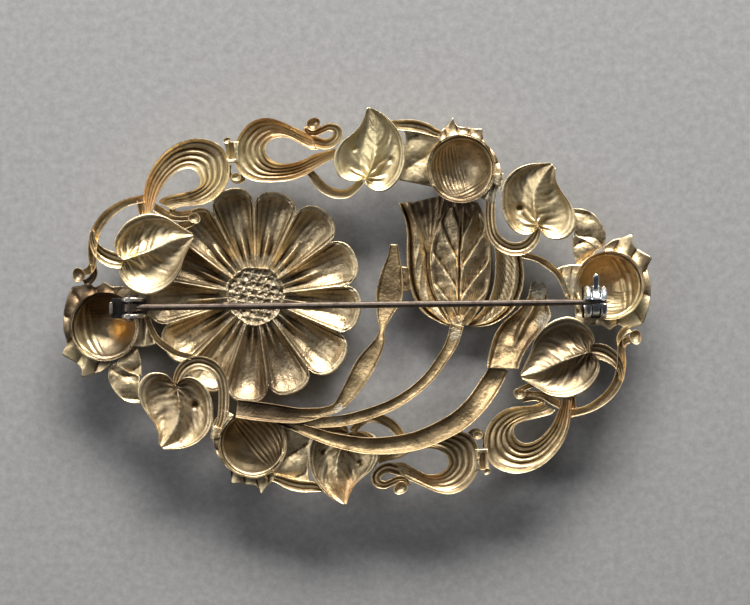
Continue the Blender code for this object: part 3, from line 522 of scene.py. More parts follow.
def solid(sheets, thickness=SHEET, domed=False):
    """One closed plate per sheet, with its lower face the thickness below it, or domed under the bud cups."""
    all_points, all_faces, start = [], [], 0
    for points, faces, *_ in sheets:
        n = len(points)
        directed = np.vstack([faces[:, [k, (k + 1) % 4]] for k in range(4)])
        key = directed[:, 0].astype(np.int64) * (2 * n) + directed[:, 1]
        back = directed[:, 1].astype(np.int64) * (2 * n) + directed[:, 0]
        rim_edges = directed[~np.isin(key, back)]
        edge_points = np.unique(rim_edges)
        top = points.copy()
        top[edge_points, 2] -= 0.05
        corner = points[faces[:, 0]]
        flip = np.cross(points[faces[:, 1]] - corner, points[faces[:, 3]] - corner)[:, 2].sum() < 0
        up = faces[:, ::-1] if flip else faces
        down = (faces if flip else faces[:, ::-1]) + n
        a, b = rim_edges.T
        walls = np.stack([a, b, b + n, a + n] if flip else [b, a, a + n, b + n], axis=1)
        bottom = points - [0, 0, thickness]
        all_points += [np.column_stack([top, np.zeros(n)]), np.column_stack([bottom, np.ones(n)])]
        all_faces += [up + start, down + start, walls + start]
        start += 2 * n
    points = np.vstack(all_points)
    return bud_domes(points) if domed else points[:, :3], np.vstack(all_faces)


# ---- materials


def shader_tree(name):
    made = bpy.data.materials.new(name)
    made.use_nodes = True
    return made, made.node_tree, made.node_tree.nodes["Principled BSDF"]


def feed(tree, socket, value):
    """Links another node's output to a socket, or sets a constant."""
    if isinstance(value, bpy.types.NodeSocket):
        tree.links.new(value, socket)
    else:
        socket.default_value = value


def blend(tree, factor, a, b):
    made = tree.nodes.new("ShaderNodeMix")
    made.data_type = "RGBA"
    for index, value in ((0, factor), (6, a), (7, b)):
        feed(tree, made.inputs[index], value)
    return made.outputs[2]


def span(tree, value, low, high, to_low=0.0, to_high=1.0):
    made = tree.nodes.new("ShaderNodeMapRange")
    tree.links.new(value, made.inputs[0])
    for i, number in enumerate((low, high, to_low, to_high)):
        made.inputs[i + 1].default_value = number
    return made.outputs[0]


def speckle(tree, coords, scale, detail=3.0, rough=0.55):
    made = tree.nodes.new("ShaderNodeTexNoise")
    tree.links.new(coords, made.inputs["Vector"])
    made.inputs["Scale"].default_value = scale
    made.inputs["Detail"].default_value = detail
    made.inputs["Roughness"].default_value = rough
    return made.outputs[0]


def coordinates(tree, kind="Object"):
    return tree.nodes.new("ShaderNodeTexCoord").outputs[kind]


def attribute(tree, name):
    made = tree.nodes.new("ShaderNodeAttribute")
    made.attribute_name = name
    return made.outputs["Fac"]


def math_node(tree, operation, a, b):
    made = tree.nodes.new("ShaderNodeMath")
    made.operation = operation
    for socket, value in zip(made.inputs, (a, b)):
        feed(tree, socket, value)
    return made.outputs[0]


def one_axis(tree, coords, axis):
    made = tree.nodes.new("ShaderNodeSeparateXYZ")
    tree.links.new(coords, made.inputs[0])
    return made.outputs[axis]


def roughen(tree, shader, height, strength, distance):
    bump = tree.nodes.new("ShaderNodeBump")
    for name, value in (("Strength", strength), ("Distance", distance), ("Height", height)):
        feed(tree, bump.inputs[name], value)
    tree.links.new(bump.outputs[0], shader.inputs["Normal"])


def brass(name, bright, body, grime, roughness, grain):
    """Antiqued brass: body colour, brighter where crests are worn, grimed in creases, mottled all over."""
    made, tree, shader = shader_tree(name)
    coords = coordinates(tree)
    bend = attribute(tree, "bend")
    mottle = speckle(tree, coords, 260.0, 4.0)
    fine = speckle(tree, coords, 2200.0, 3.0, 0.6)
    hollow = attribute(tree, "hollow")
    colour = blend(tree, span(tree, mottle, 0.38, 0.66, 0.0, 0.75), body, bright)
    deep = math_node(tree, "ADD", hollow, math_node(tree, "SUBTRACT", mottle, 0.5))
    colour = blend(tree, span(tree, deep, 0.1, 0.9, 0.0, 0.75), colour, grime)
    colour = blend(tree, span(tree, bend, 0.1, 0.7, 0.0, 0.9), colour, bright)
    colour = blend(tree, span(tree, bend, -0.1, -0.7, 0.0, 0.9), colour, grime)
    patches = speckle(tree, coords, 420.0, 6.0, 0.7)
    colour = blend(tree, span(tree, patches, 0.5, 0.7, 0.0, 0.55), colour, grime)
    specks = speckle(tree, coords, 1500.0, 2.0, 0.5)
    colour = blend(tree, span(tree, specks, 0.6, 0.7, 0.0, 0.5), colour, grime)
    solder = attribute(tree, "solder")
    grit = math_node(tree, "MULTIPLY", math_node(tree, "SUBTRACT", fine, 0.5), 1.2)
    crust = span(tree, math_node(tree, "ADD", solder, grit), 0.45, 0.75)
    colour = blend(tree, crust, colour, (0.40, 0.365, 0.29, 1.0))
    # a duller, darker tone over patches; over the tulip's top and the lower-right leaf it is painted shade
    colour = blend(tree, attribute(tree, "dull"), colour, (0.42, 0.33, 0.22, 1.0))
    lightened = math_node(tree, "MULTIPLY", attribute(tree, "pale"), span(tree, mottle, 0.3, 0.6, 0.6, 1.0))
    colour = blend(tree, lightened, colour, (0.95, 0.82, 0.48, 1.0))
    # painted shade: a near-black brown over the spots listed for it, mostly where the light leaves parts too
    # bright
    colour = blend(tree, attribute(tree, "painted_shade"), colour, (0.11, 0.07, 0.04, 1.0))
    colour = blend(tree, attribute(tree, "amber"), colour, (0.62, 0.30, 0.07, 1.0))
    tree.links.new(colour, shader.inputs["Base Color"])
    shader.inputs["Metallic"].default_value = 1.0
    rough = span(tree, mottle, 0.3, 0.75, roughness - 0.07, roughness + 0.13)
    rough = math_node(tree, "ADD", rough, math_node(tree, "MULTIPLY", crust, 0.2))
    tree.links.new(rough, shader.inputs["Roughness"])
    rising = math_node(tree, "ADD", math_node(tree, "MULTIPLY", fine, 0.8), speckle(tree, coords, 900.0, 3.0))
    rising = math_node(tree, "ADD", rising, math_node(tree, "MULTIPLY", crust, fine))
    roughen(tree, shader, rising, grain, 0.00012)
    return made


def plain_metal(name, bright, dark, roughness, scale, low=0.4, high=0.65, darker_below=None):
    made, tree, shader = shader_tree(name)
    coords = coordinates(tree)
    mottle = speckle(tree, coords, scale, 5.0, 0.6)
    colour = blend(tree, span(tree, mottle, low, high), bright, dark)
    # darker below a given height: painted shade in the gaps between the hinge's ears, so only their tops stay
    # bright; on the catch, darker low down near the plate
    if darker_below:
        blotch = math_node(tree, "MULTIPLY", math_node(tree, "SUBTRACT", mottle, 0.5), 0.002)
        level = math_node(tree, "ADD", one_axis(tree, coords, 2), blotch)
        upper_share = span(tree, level, darker_below[0] * MM, darker_below[1] * MM)
        colour = blend(tree, upper_share, (0.09, 0.085, 0.08, 1.0), colour)
    tree.links.new(colour, shader.inputs["Base Color"])
    shader.inputs["Metallic"].default_value = 1.0
    rough = span(tree, mottle, 0.3, 0.7, roughness - 0.06, roughness + 0.14)
    tree.links.new(rough, shader.inputs["Roughness"])
    roughen(tree, shader, speckle(tree, coords, scale * 3, 3.0), 0.25, 0.00005)
    return made


def paint(obj, name, spots):
    """Stores a 0 to 1 value that is highest at each spot (x, y, reach, strength)."""
    co = read(obj.data.vertices, "co") / MM
    value = np.zeros(len(co))
    for x, y, reach, strength in spots:
        distance = np.hypot(co[:, 0] - x, co[:, 1] - y) / reach
        value = np.maximum(value, strength * np.clip(1.6 - 1.6 * distance, 0, 1))
    store(obj.data, name, value)


GILT = brass(
    "gilt", (0.96, 0.80, 0.52, 1.0), (0.72, 0.56, 0.33, 1.0), (0.13, 0.075, 0.032, 1.0), 0.43, 0.45)
BRONZE = brass(
    "bronze", (0.94, 0.78, 0.50, 1.0), (0.62, 0.48, 0.29, 1.0), (0.085, 0.05, 0.025, 1.0), 0.42, 0.9)
STEM_GILT = brass(
    "stem_gilt", (0.56, 0.43, 0.25, 1.0), (0.34, 0.25, 0.135, 1.0), (0.07, 0.04, 0.018, 1.0), 0.5, 0.9)
# the last pair gives the height band below which the colour darkens: painted shade on the hinge, darker low
# down on the catch
HINGE_BRASS = plain_metal(
    "hinge_brass", (0.86, 0.82, 0.72, 1.0), (0.42, 0.36, 0.28, 1.0), 0.3, 900.0, 0.45, 0.7, (8.9, 9.8))
STEEL = plain_metal("steel", (0.22, 0.18, 0.15, 1.0), (0.08, 0.06, 0.05, 1.0), 0.38, 700.0)
NICKEL = plain_metal(
    "nickel", (0.82, 0.85, 0.87, 1.0), (0.40, 0.41, 0.42, 1.0), 0.2, 900.0, 0.5, 0.75, (7.0, 8.4))


# ---- pieces


# where each stain, tone patch and patch of painted shade lies, as (x, y, reach, strength)
# duller, darker tone; the spots over the tulip's top and the lower-right leaf are painted shade over slopes
# the light makes too bright
DULL = (
    (15.1, 19.4, 6.2, 0.4), (-15.1, -19.4, 6.2, 0.5), (-41.5, -1.0, 3.0, 0.6), (-38.0, 2.6, 4.0, 0.6),
    (-36.0, -0.4, 4.6, 0.4), (-14.0, -13.4, 7.0, 0.5), (-30.0, -1.0, 4.0, 0.5), (14.0, 14.0, 5.0, 0.55),
    (-31.5, -4.5, 3.0, 0.4), (-14.6, -9.0, 9.0, 0.65), (-26.0, 6.0, 6.0, 0.4), (-8.0, -6.0, 4.0, 0.4),
    (-36.4, -6.2, 2.6, 0.95), (-33.8, -5.2, 2.6, 0.95), (-32.6, -2.6, 2.0, 0.8), (30.0, -8.0, 7.5, 0.5),
    (15.6, -24.0, 6.0, 0.3), (-26.0, -14.0, 6.0, 0.45),
)
PALE = (
    (2.0, 22.0, 7.5, 0.85), (-16.0, 22.0, 3.6, 0.5), (-19.6, 18.6, 3.6, 0.4), (27.0, 14.0, 7.0, 0.35),
    (38.5, -0.2, 4.0, 0.55), (-30.0, 6.0, 6.0, 0.3), (-38.2, -4.6, 2.2, 0.6), (-39.9, -6.8, 2.0, 0.7),
    (9.5, 21.5, 3.0, 0.3),
)
# painted shade: darkens the end buds' upper halves, the tulip's top under the top bud and the lower-right
# leaf's lit slope; the other spots are darker patches
PAINTED_SHADE = (
    (-40.8, 1.6, 3.2, 0.9), (-37.3, 3.6, 2.4, 0.8), (-41.8, -3.0, 2.4, 0.75), (41.2, 6.4, 2.2, 0.5),
    (36.0, 9.4, 2.0, 0.5), (10.6, 14.2, 4.6, 0.85), (15.6, 14.0, 4.2, 0.8), (24.2, -4.6, 3.2, 0.6),
    (4.8, 2.4, 2.4, 0.5), (30.4, -8.0, 7.0, 0.42), (-36.8, 1.3, 5.0, 1.0), (-33.6, 0.9, 3.2, 0.9),
    (-24.0, 4.0, 4.0, 0.55), (-17.6, -17.8, 2.8, 0.7), (-31.0, 0.6, 2.6, 0.6),
    (-12.5, -14.6, 6.5, 0.75), (-15.0, -18.0, 4.5, 0.45), (-14.6, 1.7, 5.0, 0.35),
)
SOLDER = (
    (19.6, 15.6, 2.4, 0.75), (-25.2, -7.2, 2.2, 0.5), (30.4, 2.6, 3.2, 0.7), (20.2, 17.6, 1.8, 0.6),
    (25.2, 7.8, 2.0, 0.45), (32.4, 5.2, 1.6, 0.45), (-18.2, -15.4, 2.4, 0.5), (16.5, 14.4, 2.0, 0.45),
)
AMBER = (
    (-34.0, -3.0, 2.3, 1.0), (35.4, 4.4, 4.4, 0.45), (-5.0, 22.0, 2.4, 0.3), (-8.5, 19.6, 3.4, 0.3),
    (-12.0, 26.0, 4.0, 0.3), (-5.6, 24.0, 3.0, 0.35), (29.4, -15.4, 2.6, 0.3), (-2.0, -26.0, 3.0, 0.35),
    (10.4, -24.8, 2.8, 0.25), (-29.4, 16.5, 3.4, 0.3), (4.0, 20.0, 1.2, 0.3),
)


def finish(obj, cad_node, solder=(), amber=(), body="frame"):
    # paints the stains, tone patches and painted shade onto the mesh as point attributes
    stains_and_shade = ("solder", solder), ("amber", amber), ("dull", DULL), ("pale", PALE), ("painted_shade", PAINTED_SHADE)
    for name, spots in stains_and_shade:
        paint(obj, name, spots)
    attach(obj, body)
    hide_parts(cad_node)


def add_struck(name, sheets, material, cad_node, solder=(), amber=()):
    finish(add_mesh(name, *solid(sheets), material), cad_node, solder, amber)


def make_wreath():
    buds, *halves = wreath_layers()
    groups = [buds] + [[copy for part in group for copy in (part, turned(part))] for group in halves]
    buds, balls, leaves, scrolls, sepals, tendrils, webs = layered(groups)
    cups, flares = solid(buds, domed=True), solid(sepals)
    both = np.vstack([cups[0], flares[0]]), np.vstack([cups[1], flares[1] + len(cups[0])])
    finish(add_mesh("wreath_buds", *both, GILT), "wreath", SOLDER, AMBER)
    thin = balls + tendrils + webs
    for name, sheets in (("leaves", leaves), ("scrolls", scrolls), ("tendrils", thin)):
        add_struck(f"wreath_{name}", sheets, GILT, "wreath", SOLDER, AMBER)


PETAL_ANGLES = (20, 49, 77, 103, 130, 156, 184, 211, 238, 265, 290, 320, 351)
DAISY_AT = (-14.6, 1.7)
NOTCH_REACH = 12.9  # where two petals part
BOSS_RADIUS = 4.25
BOSS_BASE = 3.6


def petal_place(angle):
    """For each angle, the petal it falls in and how far across that petal it is, from -1 to 1."""
    mids = np.radians(np.array(PETAL_ANGLES, float))
    around = np.concatenate([[mids[-1] - 2 * math.pi], mids, [mids[0] + 2 * math.pi]])
    lows = (around[:-2] + around[1:-1]) / 2
    turn = np.mod(angle - lows[0], 2 * math.pi) + lows[0]
    which = np.clip(np.searchsorted(lows, turn, side="right") - 1, 0, len(mids) - 1)
    highs = np.concatenate([lows[1:], [lows[0] + 2 * math.pi]])
    low, high, mid = lows[which], highs[which], mids[which]
    across = np.where(turn < mid, (turn - mid) / (mid - low), (turn - mid) / (high - mid))
    return which, across


def petal_reach(angle):
    which, across = petal_place(angle)
    tips = 15.5 + 0.35 * np.sin(which * 2.4)
    return NOTCH_REACH + (tips - NOTCH_REACH) * (1 - np.abs(across) ** 2.6) ** 0.6


def petal_relief(r, angle, x, y):
    """A deep trough with a ridge down its middle that dies out towards the tip."""
    which, across = petal_place(angle)
    a = np.abs(across)
    end = 1 - np.clip((r - 0.62) / 0.33, 0, 1) ** 2.2
    start = smooth((r + 0.06) / 0.25)
    z = 2.45 + 0.6 * start + 0.12 * np.sin(which * 1.7)
    z -= (1.75 + 0.25 * np.sin(which * 2.9)) * (1 - a**2.6) * end * (0.25 + 0.75 * start)
    z += 0.95 * bead(a, 0, 0.17) * (1 - smooth((r - 0.15) / 0.5)) * (0.4 + 0.6 * start)
    z -= 0.25 * bead(a, 0.42, 0.09) * (1 - smooth((r - 0.1) / 0.4)) * start
    z += 0.05 * wave(a * 3.1 + 0.8 * r, 1.0) * end
    return z - 0.14 * bead(a, 0.84, 0.035) * start - 0.14 * bead(r, 0.955, 0.012)


def boss_relief(r, angle, x, y):
    """Cross-hatched in two directions, lumpy, with a lip round it."""
    u, v = (x * math.cos(turn) + y * math.sin(turn) for turn in np.radians((-30, 80)))
    hatch = np.maximum(wave(v / 1.02, 2.0), wave(u / 1.1, 2.0))
    grain = 0.26 * lumps(x, y, 1.1) + 0.12 * lumps(x, y, 3.1)
    return 1.9 + 0.19 * hatch * smooth((1.02 - r) / 0.15) + grain + 0.5 * smooth((r - 0.86) / 0.14)


def boss_reach(angle):
    return BOSS_RADIUS + 0.12 * np.sin(3 * angle) + 0.1 * np.sin(7 * angle + 1)


def make_daisy():
    petals = polar(DAISY_AT, petal_reach, 82, len(PETAL_ANGLES) * 40, petal_relief, hole=4.0)
    ring = [(*place, 2.7, 0.62) for place in cup_arc(DAISY_AT, 0, 336, 4.7, 15)]
    add_struck("daisy_petal_plate", [petals], BRONZE, "daisy_petals", ring)
    boss = polar(DAISY_AT, boss_reach, 50, 160, boss_relief)
    points, faces = solid([boss], 0.4)
    flat = points[len(points) // 2:]
    flat[:, 2] = 0.0
    flat[:, :2] = DAISY_AT + (flat[:, :2] - DAISY_AT) * (BOSS_BASE / BOSS_RADIUS)
    obj = add_mesh("daisy_centre", points, faces, BRONZE)
    finish(obj, "daisy_boss", [(*DAISY_AT, 9.0, 0.6)])


REAR_PETALS = (
    ([(10.1, 7.6), (9.4, 10.2), (8.4, 12.9), (7.7, 14.7)],
     [(10.5, 7.6), (11.3, 10.4), (12.3, 13.4), (12.9, 15.9)]),
    ([(12.2, 11.2), (12.1, 13.2), (12.4, 15.8)],
     [(18.6, 10.6), (18.4, 12.6), (17.6, 14.6)]),
)
LEFT_PETAL = (
    [(13.0, -3.0), (11.2, -2.3), (9.2, -0.9), (7.9, 1.4), (7.25, 4.4), (7.15, 7.6), (7.2, 10.2),
     (6.9, 12.4), (6.05, 14.75)],
    [(13.6, -2.6), (12.6, -1.0), (11.4, 0.9), (10.6, 3.0), (10.25, 5.4), (10.2, 8.2), (9.9, 10.2),
     (9.1, 12.4), (7.95, 14.85)],
)
RIGHT_PETAL = (
    [(15.8, -2.9), (17.4, -1.4), (18.8, 0.4), (19.6, 2.6), (19.9, 5.0), (19.9, 7.2), (19.7, 8.8)],
    [(16.4, -3.25), (19.4, -2.9), (22.2, -1.1), (23.6, 1.4), (24.1, 3.8), (23.9, 6.0), (23.4, 7.6)],
)
TULIP_CENTRE = (
    [(13.4, -2.9), (12.0, -0.4), (10.9, 2.0), (10.4, 4.6), (10.35, 7.4), (10.9, 9.8), (11.8, 12.0),
     (12.9, 13.9)],
    [(14.6, -3.15), (14.6, 0.0), (14.7, 4.0), (14.8, 8.0), (15.1, 11.6), (15.2, 14.3)],
    [(16.0, -2.95), (17.6, -0.8), (18.9, 1.6), (19.5, 4.4), (19.55, 7.4), (19.2, 10.0), (18.5, 12.2),
     (17.6, 13.9)],
)


def rear_relief(s, t, x, y):
    z = 2.15 + 0.25 * s + 0.3 * np.abs(t) ** 4
    return z + 0.09 * wave(t * 2.2 + 0.6 * s, 1.6) + 0.15 * lumps(x, y, 0.8)


def left_relief(s, t, x, y):
    """A rounded outer rim, a groove inside it, then a veined swell that dips to the centre petal."""
    flare = smooth((s - 0.62) / 0.25)
    z = 3.05 + 0.3 * bead(t, -0.86, 0.12) - 0.8 * bead(t, -0.55, 0.2)
    z -= 0.9 * smooth((t - 0.1) / 0.9) * (1 - 0.7 * flare)
    z += 0.12 * wave((s * 1.3 - 0.35 * t) * 4.0, 3.0) * smooth((t + 0.45) / 0.3) * (1 - flare)
    return z + 0.6 * flare * bead(t, 0.25, 0.3) - 0.5 * bead(t, 0.9, 0.12) + 0.35 * bead(s, 0.97, 0.03)


def right_relief(s, t, x, y):
    z = 3.1 - 0.95 * bead(t, -0.35, 0.5) + 0.18 * bead(t, 0.35, 0.2)
    z += 0.2 * bead(t, 0.93, 0.08) - 0.4 * bead(t, 0.7, 0.12)
    return z + 0.05 * wave((s + 0.2 * t) * 16, 1.0) - 0.6 * bead(s, 0.0, 0.08)


def tulip_centre_relief(s, t, x, y):
    """Feathered: each side climbs to a vein and drops behind it, and fine lines run with the veins."""
    a = np.abs(t)
    swell = smooth(s / 0.12)
    z = 2.75 + 0.25 * smooth((a - 0.75) / 0.15) - 0.75 * smooth((a - 0.93) / 0.05)
    place = (s * 1.25 - 0.62 * a + 0.12 * a * a + 0.04 * np.sign(t)) * 3.1
    step = place - np.floor(place)
    feather = 0.66 * smooth(step / 0.8) * (1 - smooth((step - 0.82) / 0.18)) - 0.3
    z += swell * feather * smooth((a - 0.015) / 0.12) * smooth((0.9 - a) / 0.12)
    lines = np.arctan2(x - 14.7, y + 7.5) * 26 + 0.6 * a + 0.5 * lumps(x, y, 0.5, 6.0)
    z += 0.035 * wave(lines, 1.2) * (1 - a**6) + 0.1 * lumps(x, y, 0.9)
    z -= 0.42 * bead(a, 0.0, 0.035) * smooth(s / 0.2) * smooth((0.97 - s) / 0.2)
    return z - 0.55 * smooth((s - 0.86) / 0.14)


def make_tulip():
    rear = [ruled(edges, 60, 40, rear_relief) for edges in REAR_PETALS]
    sides = [ruled(LEFT_PETAL, 140, 45, left_relief), ruled(RIGHT_PETAL, 120, 45, right_relief)]
    centre = ruled(TULIP_CENTRE, 160, 121, tulip_centre_relief)
    add_struck("tulip_petals", [*rear, *sides, centre], BRONZE, "tulip_head", [(14.6, -2.4, 1.6, 0.6)])


TULIP_STEM = [
    (14.3, -2.8, 1.0, 4.0), (13.6, -5.2, 0.9, 4.3), (12.2, -7.6, 0.8, 4.8), (9.4, -11.0, 0.75, 5.9),
    (5.0, -14.0, 0.78, 7.1), (-0.5, -15.9, 0.82, 7.25), (-4.2, -16.4, 0.8, 7.2),
    (-7.4, -16.35, 0.7, 6.95), (-10.2, -15.9, 0.5, 6.5),
]
BUD_STEM = [
    (20.4, -8.9, 1.3, 4.9), (19.0, -11.2, 1.5, 5.5), (16.6, -14.4, 1.5, 6.9), (13.4, -17.0, 1.45, 7.5),
    (8.0, -19.3, 1.35, 7.5), (2.0, -19.9, 1.2, 7.5), (-3.0, -19.1, 1.0, 7.4), (-6.4, -18.0, 0.82, 7.2),
    (-9.2, -16.95, 0.62, 6.9), (-12.0, -15.9, 0.45, 6.5),
]
TWIG = [
    (-17.3, -14.35, 1.3, 7.1), (-14.6, -14.75, 1.36, 7.15), (-11.6, -15.15, 1.3, 7.2),
    (-8.8, -15.45, 1.1, 7.2), (-6.4, -15.25, 0.85, 7.2), (-4.6, -14.85, 0.6, 7.15),
    (-2.9, -14.25, 0.75, 7.1), (-0.9, -11.7, 1.2, 7.0), (1.1, -8.4, 1.45, 6.6), (3.0, -5.4, 0.85, 5.9),
    (3.5, -3.4, 0.4, 5.2), (3.9, -1.2, 1.15, 4.5), (4.6, 1.4, 1.95, 4.1), (5.0, 4.4, 1.6, 3.9),
    (5.3, 6.8, 0.95, 3.8), (5.4, 8.8, 0.55, 3.75),
]
TWIG_BRIDGE = (
    [(6.2, 1.6), (6.0, 3.6), (6.1, 5.7)],
    [(7.7, 2.2), (7.6, 3.8), (7.5, 5.4)],
)
SHEATH = (
    [(18.3, -9.1), (18.8, -6.8), (19.6, -4.4), (20.9, -2.6), (22.6, -1.2), (24.0, 0.2), (24.7, 1.6)],
    [(20.6, -9.2), (21.8, -6.6), (22.6, -4.6), (23.6, -2.8), (24.8, -1.4), (25.6, 0.2), (26.0, 1.8)],
    [(22.9, -9.3), (23.6, -7.4), (24.9, -5.4), (26.6, -3.6), (27.7, -1.9), (27.5, -0.6), (27.2, 1.8)],
)
STUB = (
    [(24.5, 0.6), (24.9, 2.7), (25.4, 3.2)],
    [(26.8, 0.6), (27.2, 2.2), (26.6, 3.1)],
)


def sheath_relief(s, t, x, y):
    a = np.abs(t)
    z = 6.0 - 2.3 * s - (0.3 + 1.1 * np.sin(math.pi * s)) * (1 - a**3)
    fold = 0.75 * bead(t, 0.35 - 0.5 * s, 0.16) * smooth((s - 0.25) / 0.2) * smooth((0.95 - s) / 0.2)
    creases = 0.2 * lumps(x, y, 0.6, 1.0) * (1 - a**4)
    return z + fold + creases + 0.12 * (bead(a, 0.9, 0.06) - bead(a, 0.76, 0.08))


def rough_relief(s, t, x, y):
    return 3.9 - 0.6 * (1 - np.abs(t) ** 3) + 0.12 * lumps(x, y, 1.2, 4.0)


def make_stems():
    thin = ribbon(TULIP_STEM, 260, 31, gutter(0.5, sharp=3.4, lip=0.07))
    spots = [(13.9, -4.2, 1.6, 0.7), (-3.0, -15.6, 1.6, 0.8)]
    add_struck("tulip_stem_strip", [thin], STEM_GILT, "tulip_stem", spots)
    thick = ribbon(BUD_STEM, 280, 41, gutter(0.62, sharp=3.0, lip=0.06))
    add_struck("bud_stem_strip", [thick], STEM_GILT, "bud_stem")
    twig = ribbon(TWIG, 300, 41, gutter(0.5, sharp=3.2, lip=0.06))
    bridge = ruled(TWIG_BRIDGE, 30, 16, rough_relief)
    add_struck("twig_strip", [twig, bridge], STEM_GILT, "twig_leaf", [(-2.6, -14.9, 1.6, 0.8)])
    sheath = ruled(SHEATH, 120, 61, sheath_relief)
    stub = ruled(STUB, 40, 30, rough_relief)
    spots = [(26.0, 2.0, 2.0, 1.0), (27.0, -2.6, 2.4, 0.8)]
    add_struck("bud_sheath_strip", [sheath, stub], STEM_GILT, "bud_sheath", spots)


def dress_cad(name, material, bevel=0.0):
    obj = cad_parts[name]
    obj.data.materials.clear()
    obj.data.materials.append(material)
    if bevel:
        edge = obj.modifiers.new("edges", "BEVEL")
        edge.width = bevel * MM
        edge.segments = 3
        edge.limit_method = "ANGLE"
        edge.angle_limit = math.radians(45)


def open_ring(profile, gap, spokes=72):
    """(x, radius) points turned about the pin's line, slotted from above by a gap of constant width."""
    points, faces = [], []
    for step in range(spokes + 1):
        for x, radius in profile:
            limit = math.asin(min(gap / 2 / radius, 1.0))
            angle = math.pi / 2 + limit + (2 * math.pi - 2 * limit) * step / spokes
            points.append((x, PIN_Y + radius * math.cos(angle), PIN_Z + radius * math.sin(angle)))
    n = len(profile)
    for step in range(spokes):
        for k in range(n):
            a, b = step * n + k, step * n + (k + 1) % n
            faces.append((a, b, b + n, a + n))
    faces.append(tuple(range(n))[::-1])
    faces.append(tuple(spokes * n + k for k in range(n)))
    return points, faces


def flange_profile(low, high, inner, outer, roundness):
    """A band whose outer corners are well rounded."""
    turns = [math.pi / 2 * k / 6 for k in range(7)]
    bend = [(roundness * (1 - math.cos(a)), outer - roundness * (1 - math.sin(a))) for a in turns]
    rise, fall = [(low + x, r) for x, r in bend], [(high - x, r) for x, r in bend[::-1]]
    return [(low, inner)] + rise + fall + [(high, inner)]


def bevelled(made, corner):
    """Rounds every edge of a bmesh and returns its points and faces."""
    bmesh.ops.bevel(made, geom=list(made.edges), offset=corner, segments=3, affect="EDGES")
    made.verts.index_update()
    result = [tuple(v.co) for v in made.verts], [tuple(v.index for v in f.verts) for f in made.faces]
    made.free()
    return result


def rounded_box(low, high, corner):
    """A box with rounded edges, as points and faces."""
    made = bmesh.new()
    bmesh.ops.create_cube(made, size=1.0)
    for v in made.verts:
        v.co = Vector([(a + b) / 2 + c * (b - a) for a, b, c in zip(low, high, v.co)])
    return bevelled(made, corner)


# (distance from the axis, half width, half height)
LEVER_RINGS = (
    (1.1, 0.42, 0.3), (2.4, 0.42, 0.3), (3.3, 0.44, 0.3), (3.7, 0.43, 0.28), (3.98, 0.38, 0.25),
    (4.16, 0.28, 0.19), (4.25, 0.14, 0.1), (4.28, 0.03, 0.03),
)


def lever_loft(angle):
    """A tongue with a rounded end, rising away from the barrel's axis."""
    along = Vector((0, math.cos(angle), math.sin(angle)))
    up = Vector((0, -math.sin(angle), math.cos(angle)))
    rings = []
    for reach, wide, thick in LEVER_RINGS:
        centre = Vector((CATCH_X, PIN_Y, PIN_Z)) + along * reach
        ring = []
        for k in range(20):
            c, s = math.cos(k * math.pi / 10), math.sin(k * math.pi / 10)
            sideways = Vector((wide * math.copysign(abs(c) ** 0.6, c), 0, 0))
            ring.append(tuple(centre + sideways + up * thick * math.copysign(abs(s) ** 0.6, s)))
        rings.append(ring)
    points = [p for ring in rings for p in ring]
    faces = [(i * 20 + k, i * 20 + (k + 1) % 20, (i + 1) * 20 + (k + 1) % 20, (i + 1) * 20 + k)
             for i in range(len(rings) - 1) for k in range(20)]
    faces += [tuple(range(20))[::-1], tuple(range(len(points) - 20, len(points)))]
    return points, faces


def merged(parts):
    points, faces = [], []
    for more_points, more_faces in parts:
        faces += [tuple(i + len(points) for i in face) for face in more_faces]
        points += list(more_points)
    return points, faces


def add_finding(name, parts, material, cad_node, body="frame"):
    """One object from several closed parts, all their faces turned outward."""
    obj = add_mesh(name, *merged(parts), material, sharp=40)
    made = bmesh.new()
    made.from_mesh(obj.data)
    bmesh.ops.recalc_face_normals(made, faces=list(made.faces))
    made.to_mesh(obj.data)
    made.free()
    finish(obj, cad_node, body=body)


def make_catch():
    """The sleeve's two rounded flanges on their foot, and the barrel with its collar and lever."""
    low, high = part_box("catch_sleeve")
    left, right, floor = low.x / MM, high.x / MM, low.z / MM
    sleeve = [
        open_ring(flange_profile(left + 0.2, 33.1, 1.02, 2.38, 0.42), 0.86),
        open_ring(flange_profile(34.4, right - 0.2, 1.02, 2.38, 0.42), 0.86),
        rounded_box((left, PIN_Y - 2.3, floor), (right, PIN_Y + 2.3, floor + 0.5), 0.14),
    ]
    add_finding("catch_flanges", sleeve, NICKEL, "catch_sleeve")
    barrel = [
        open_ring(flange_profile(32.3, 35.2, 0.56, 0.94, 0.1), 0.8),
        open_ring(flange_profile(33.22, 34.28, 0.6, 1.97, 0.22), 0.8),
        lever_loft(math.radians(22)),
    ]
    add_finding("catch_barrel_and_lever", barrel, NICKEL, "catch_barrel", body="barrel")


def rounded_plate(outline, low_y, high_y, corner):
    """A plate of the given XZ outline with rounded edges, as points and faces."""
    made = bmesh.new()
    front = [made.verts.new((x, low_y, z)) for x, z in outline]
    back = [made.verts.new((x, high_y, z)) for x, z in outline]
    made.faces.new(front)
    made.faces.new(back[::-1])
    for k in range(len(outline)):
        n = (k + 1) % len(outline)
        made.faces.new((front[n], front[k], back[k], back[n]))
    return bevelled(made, corner)


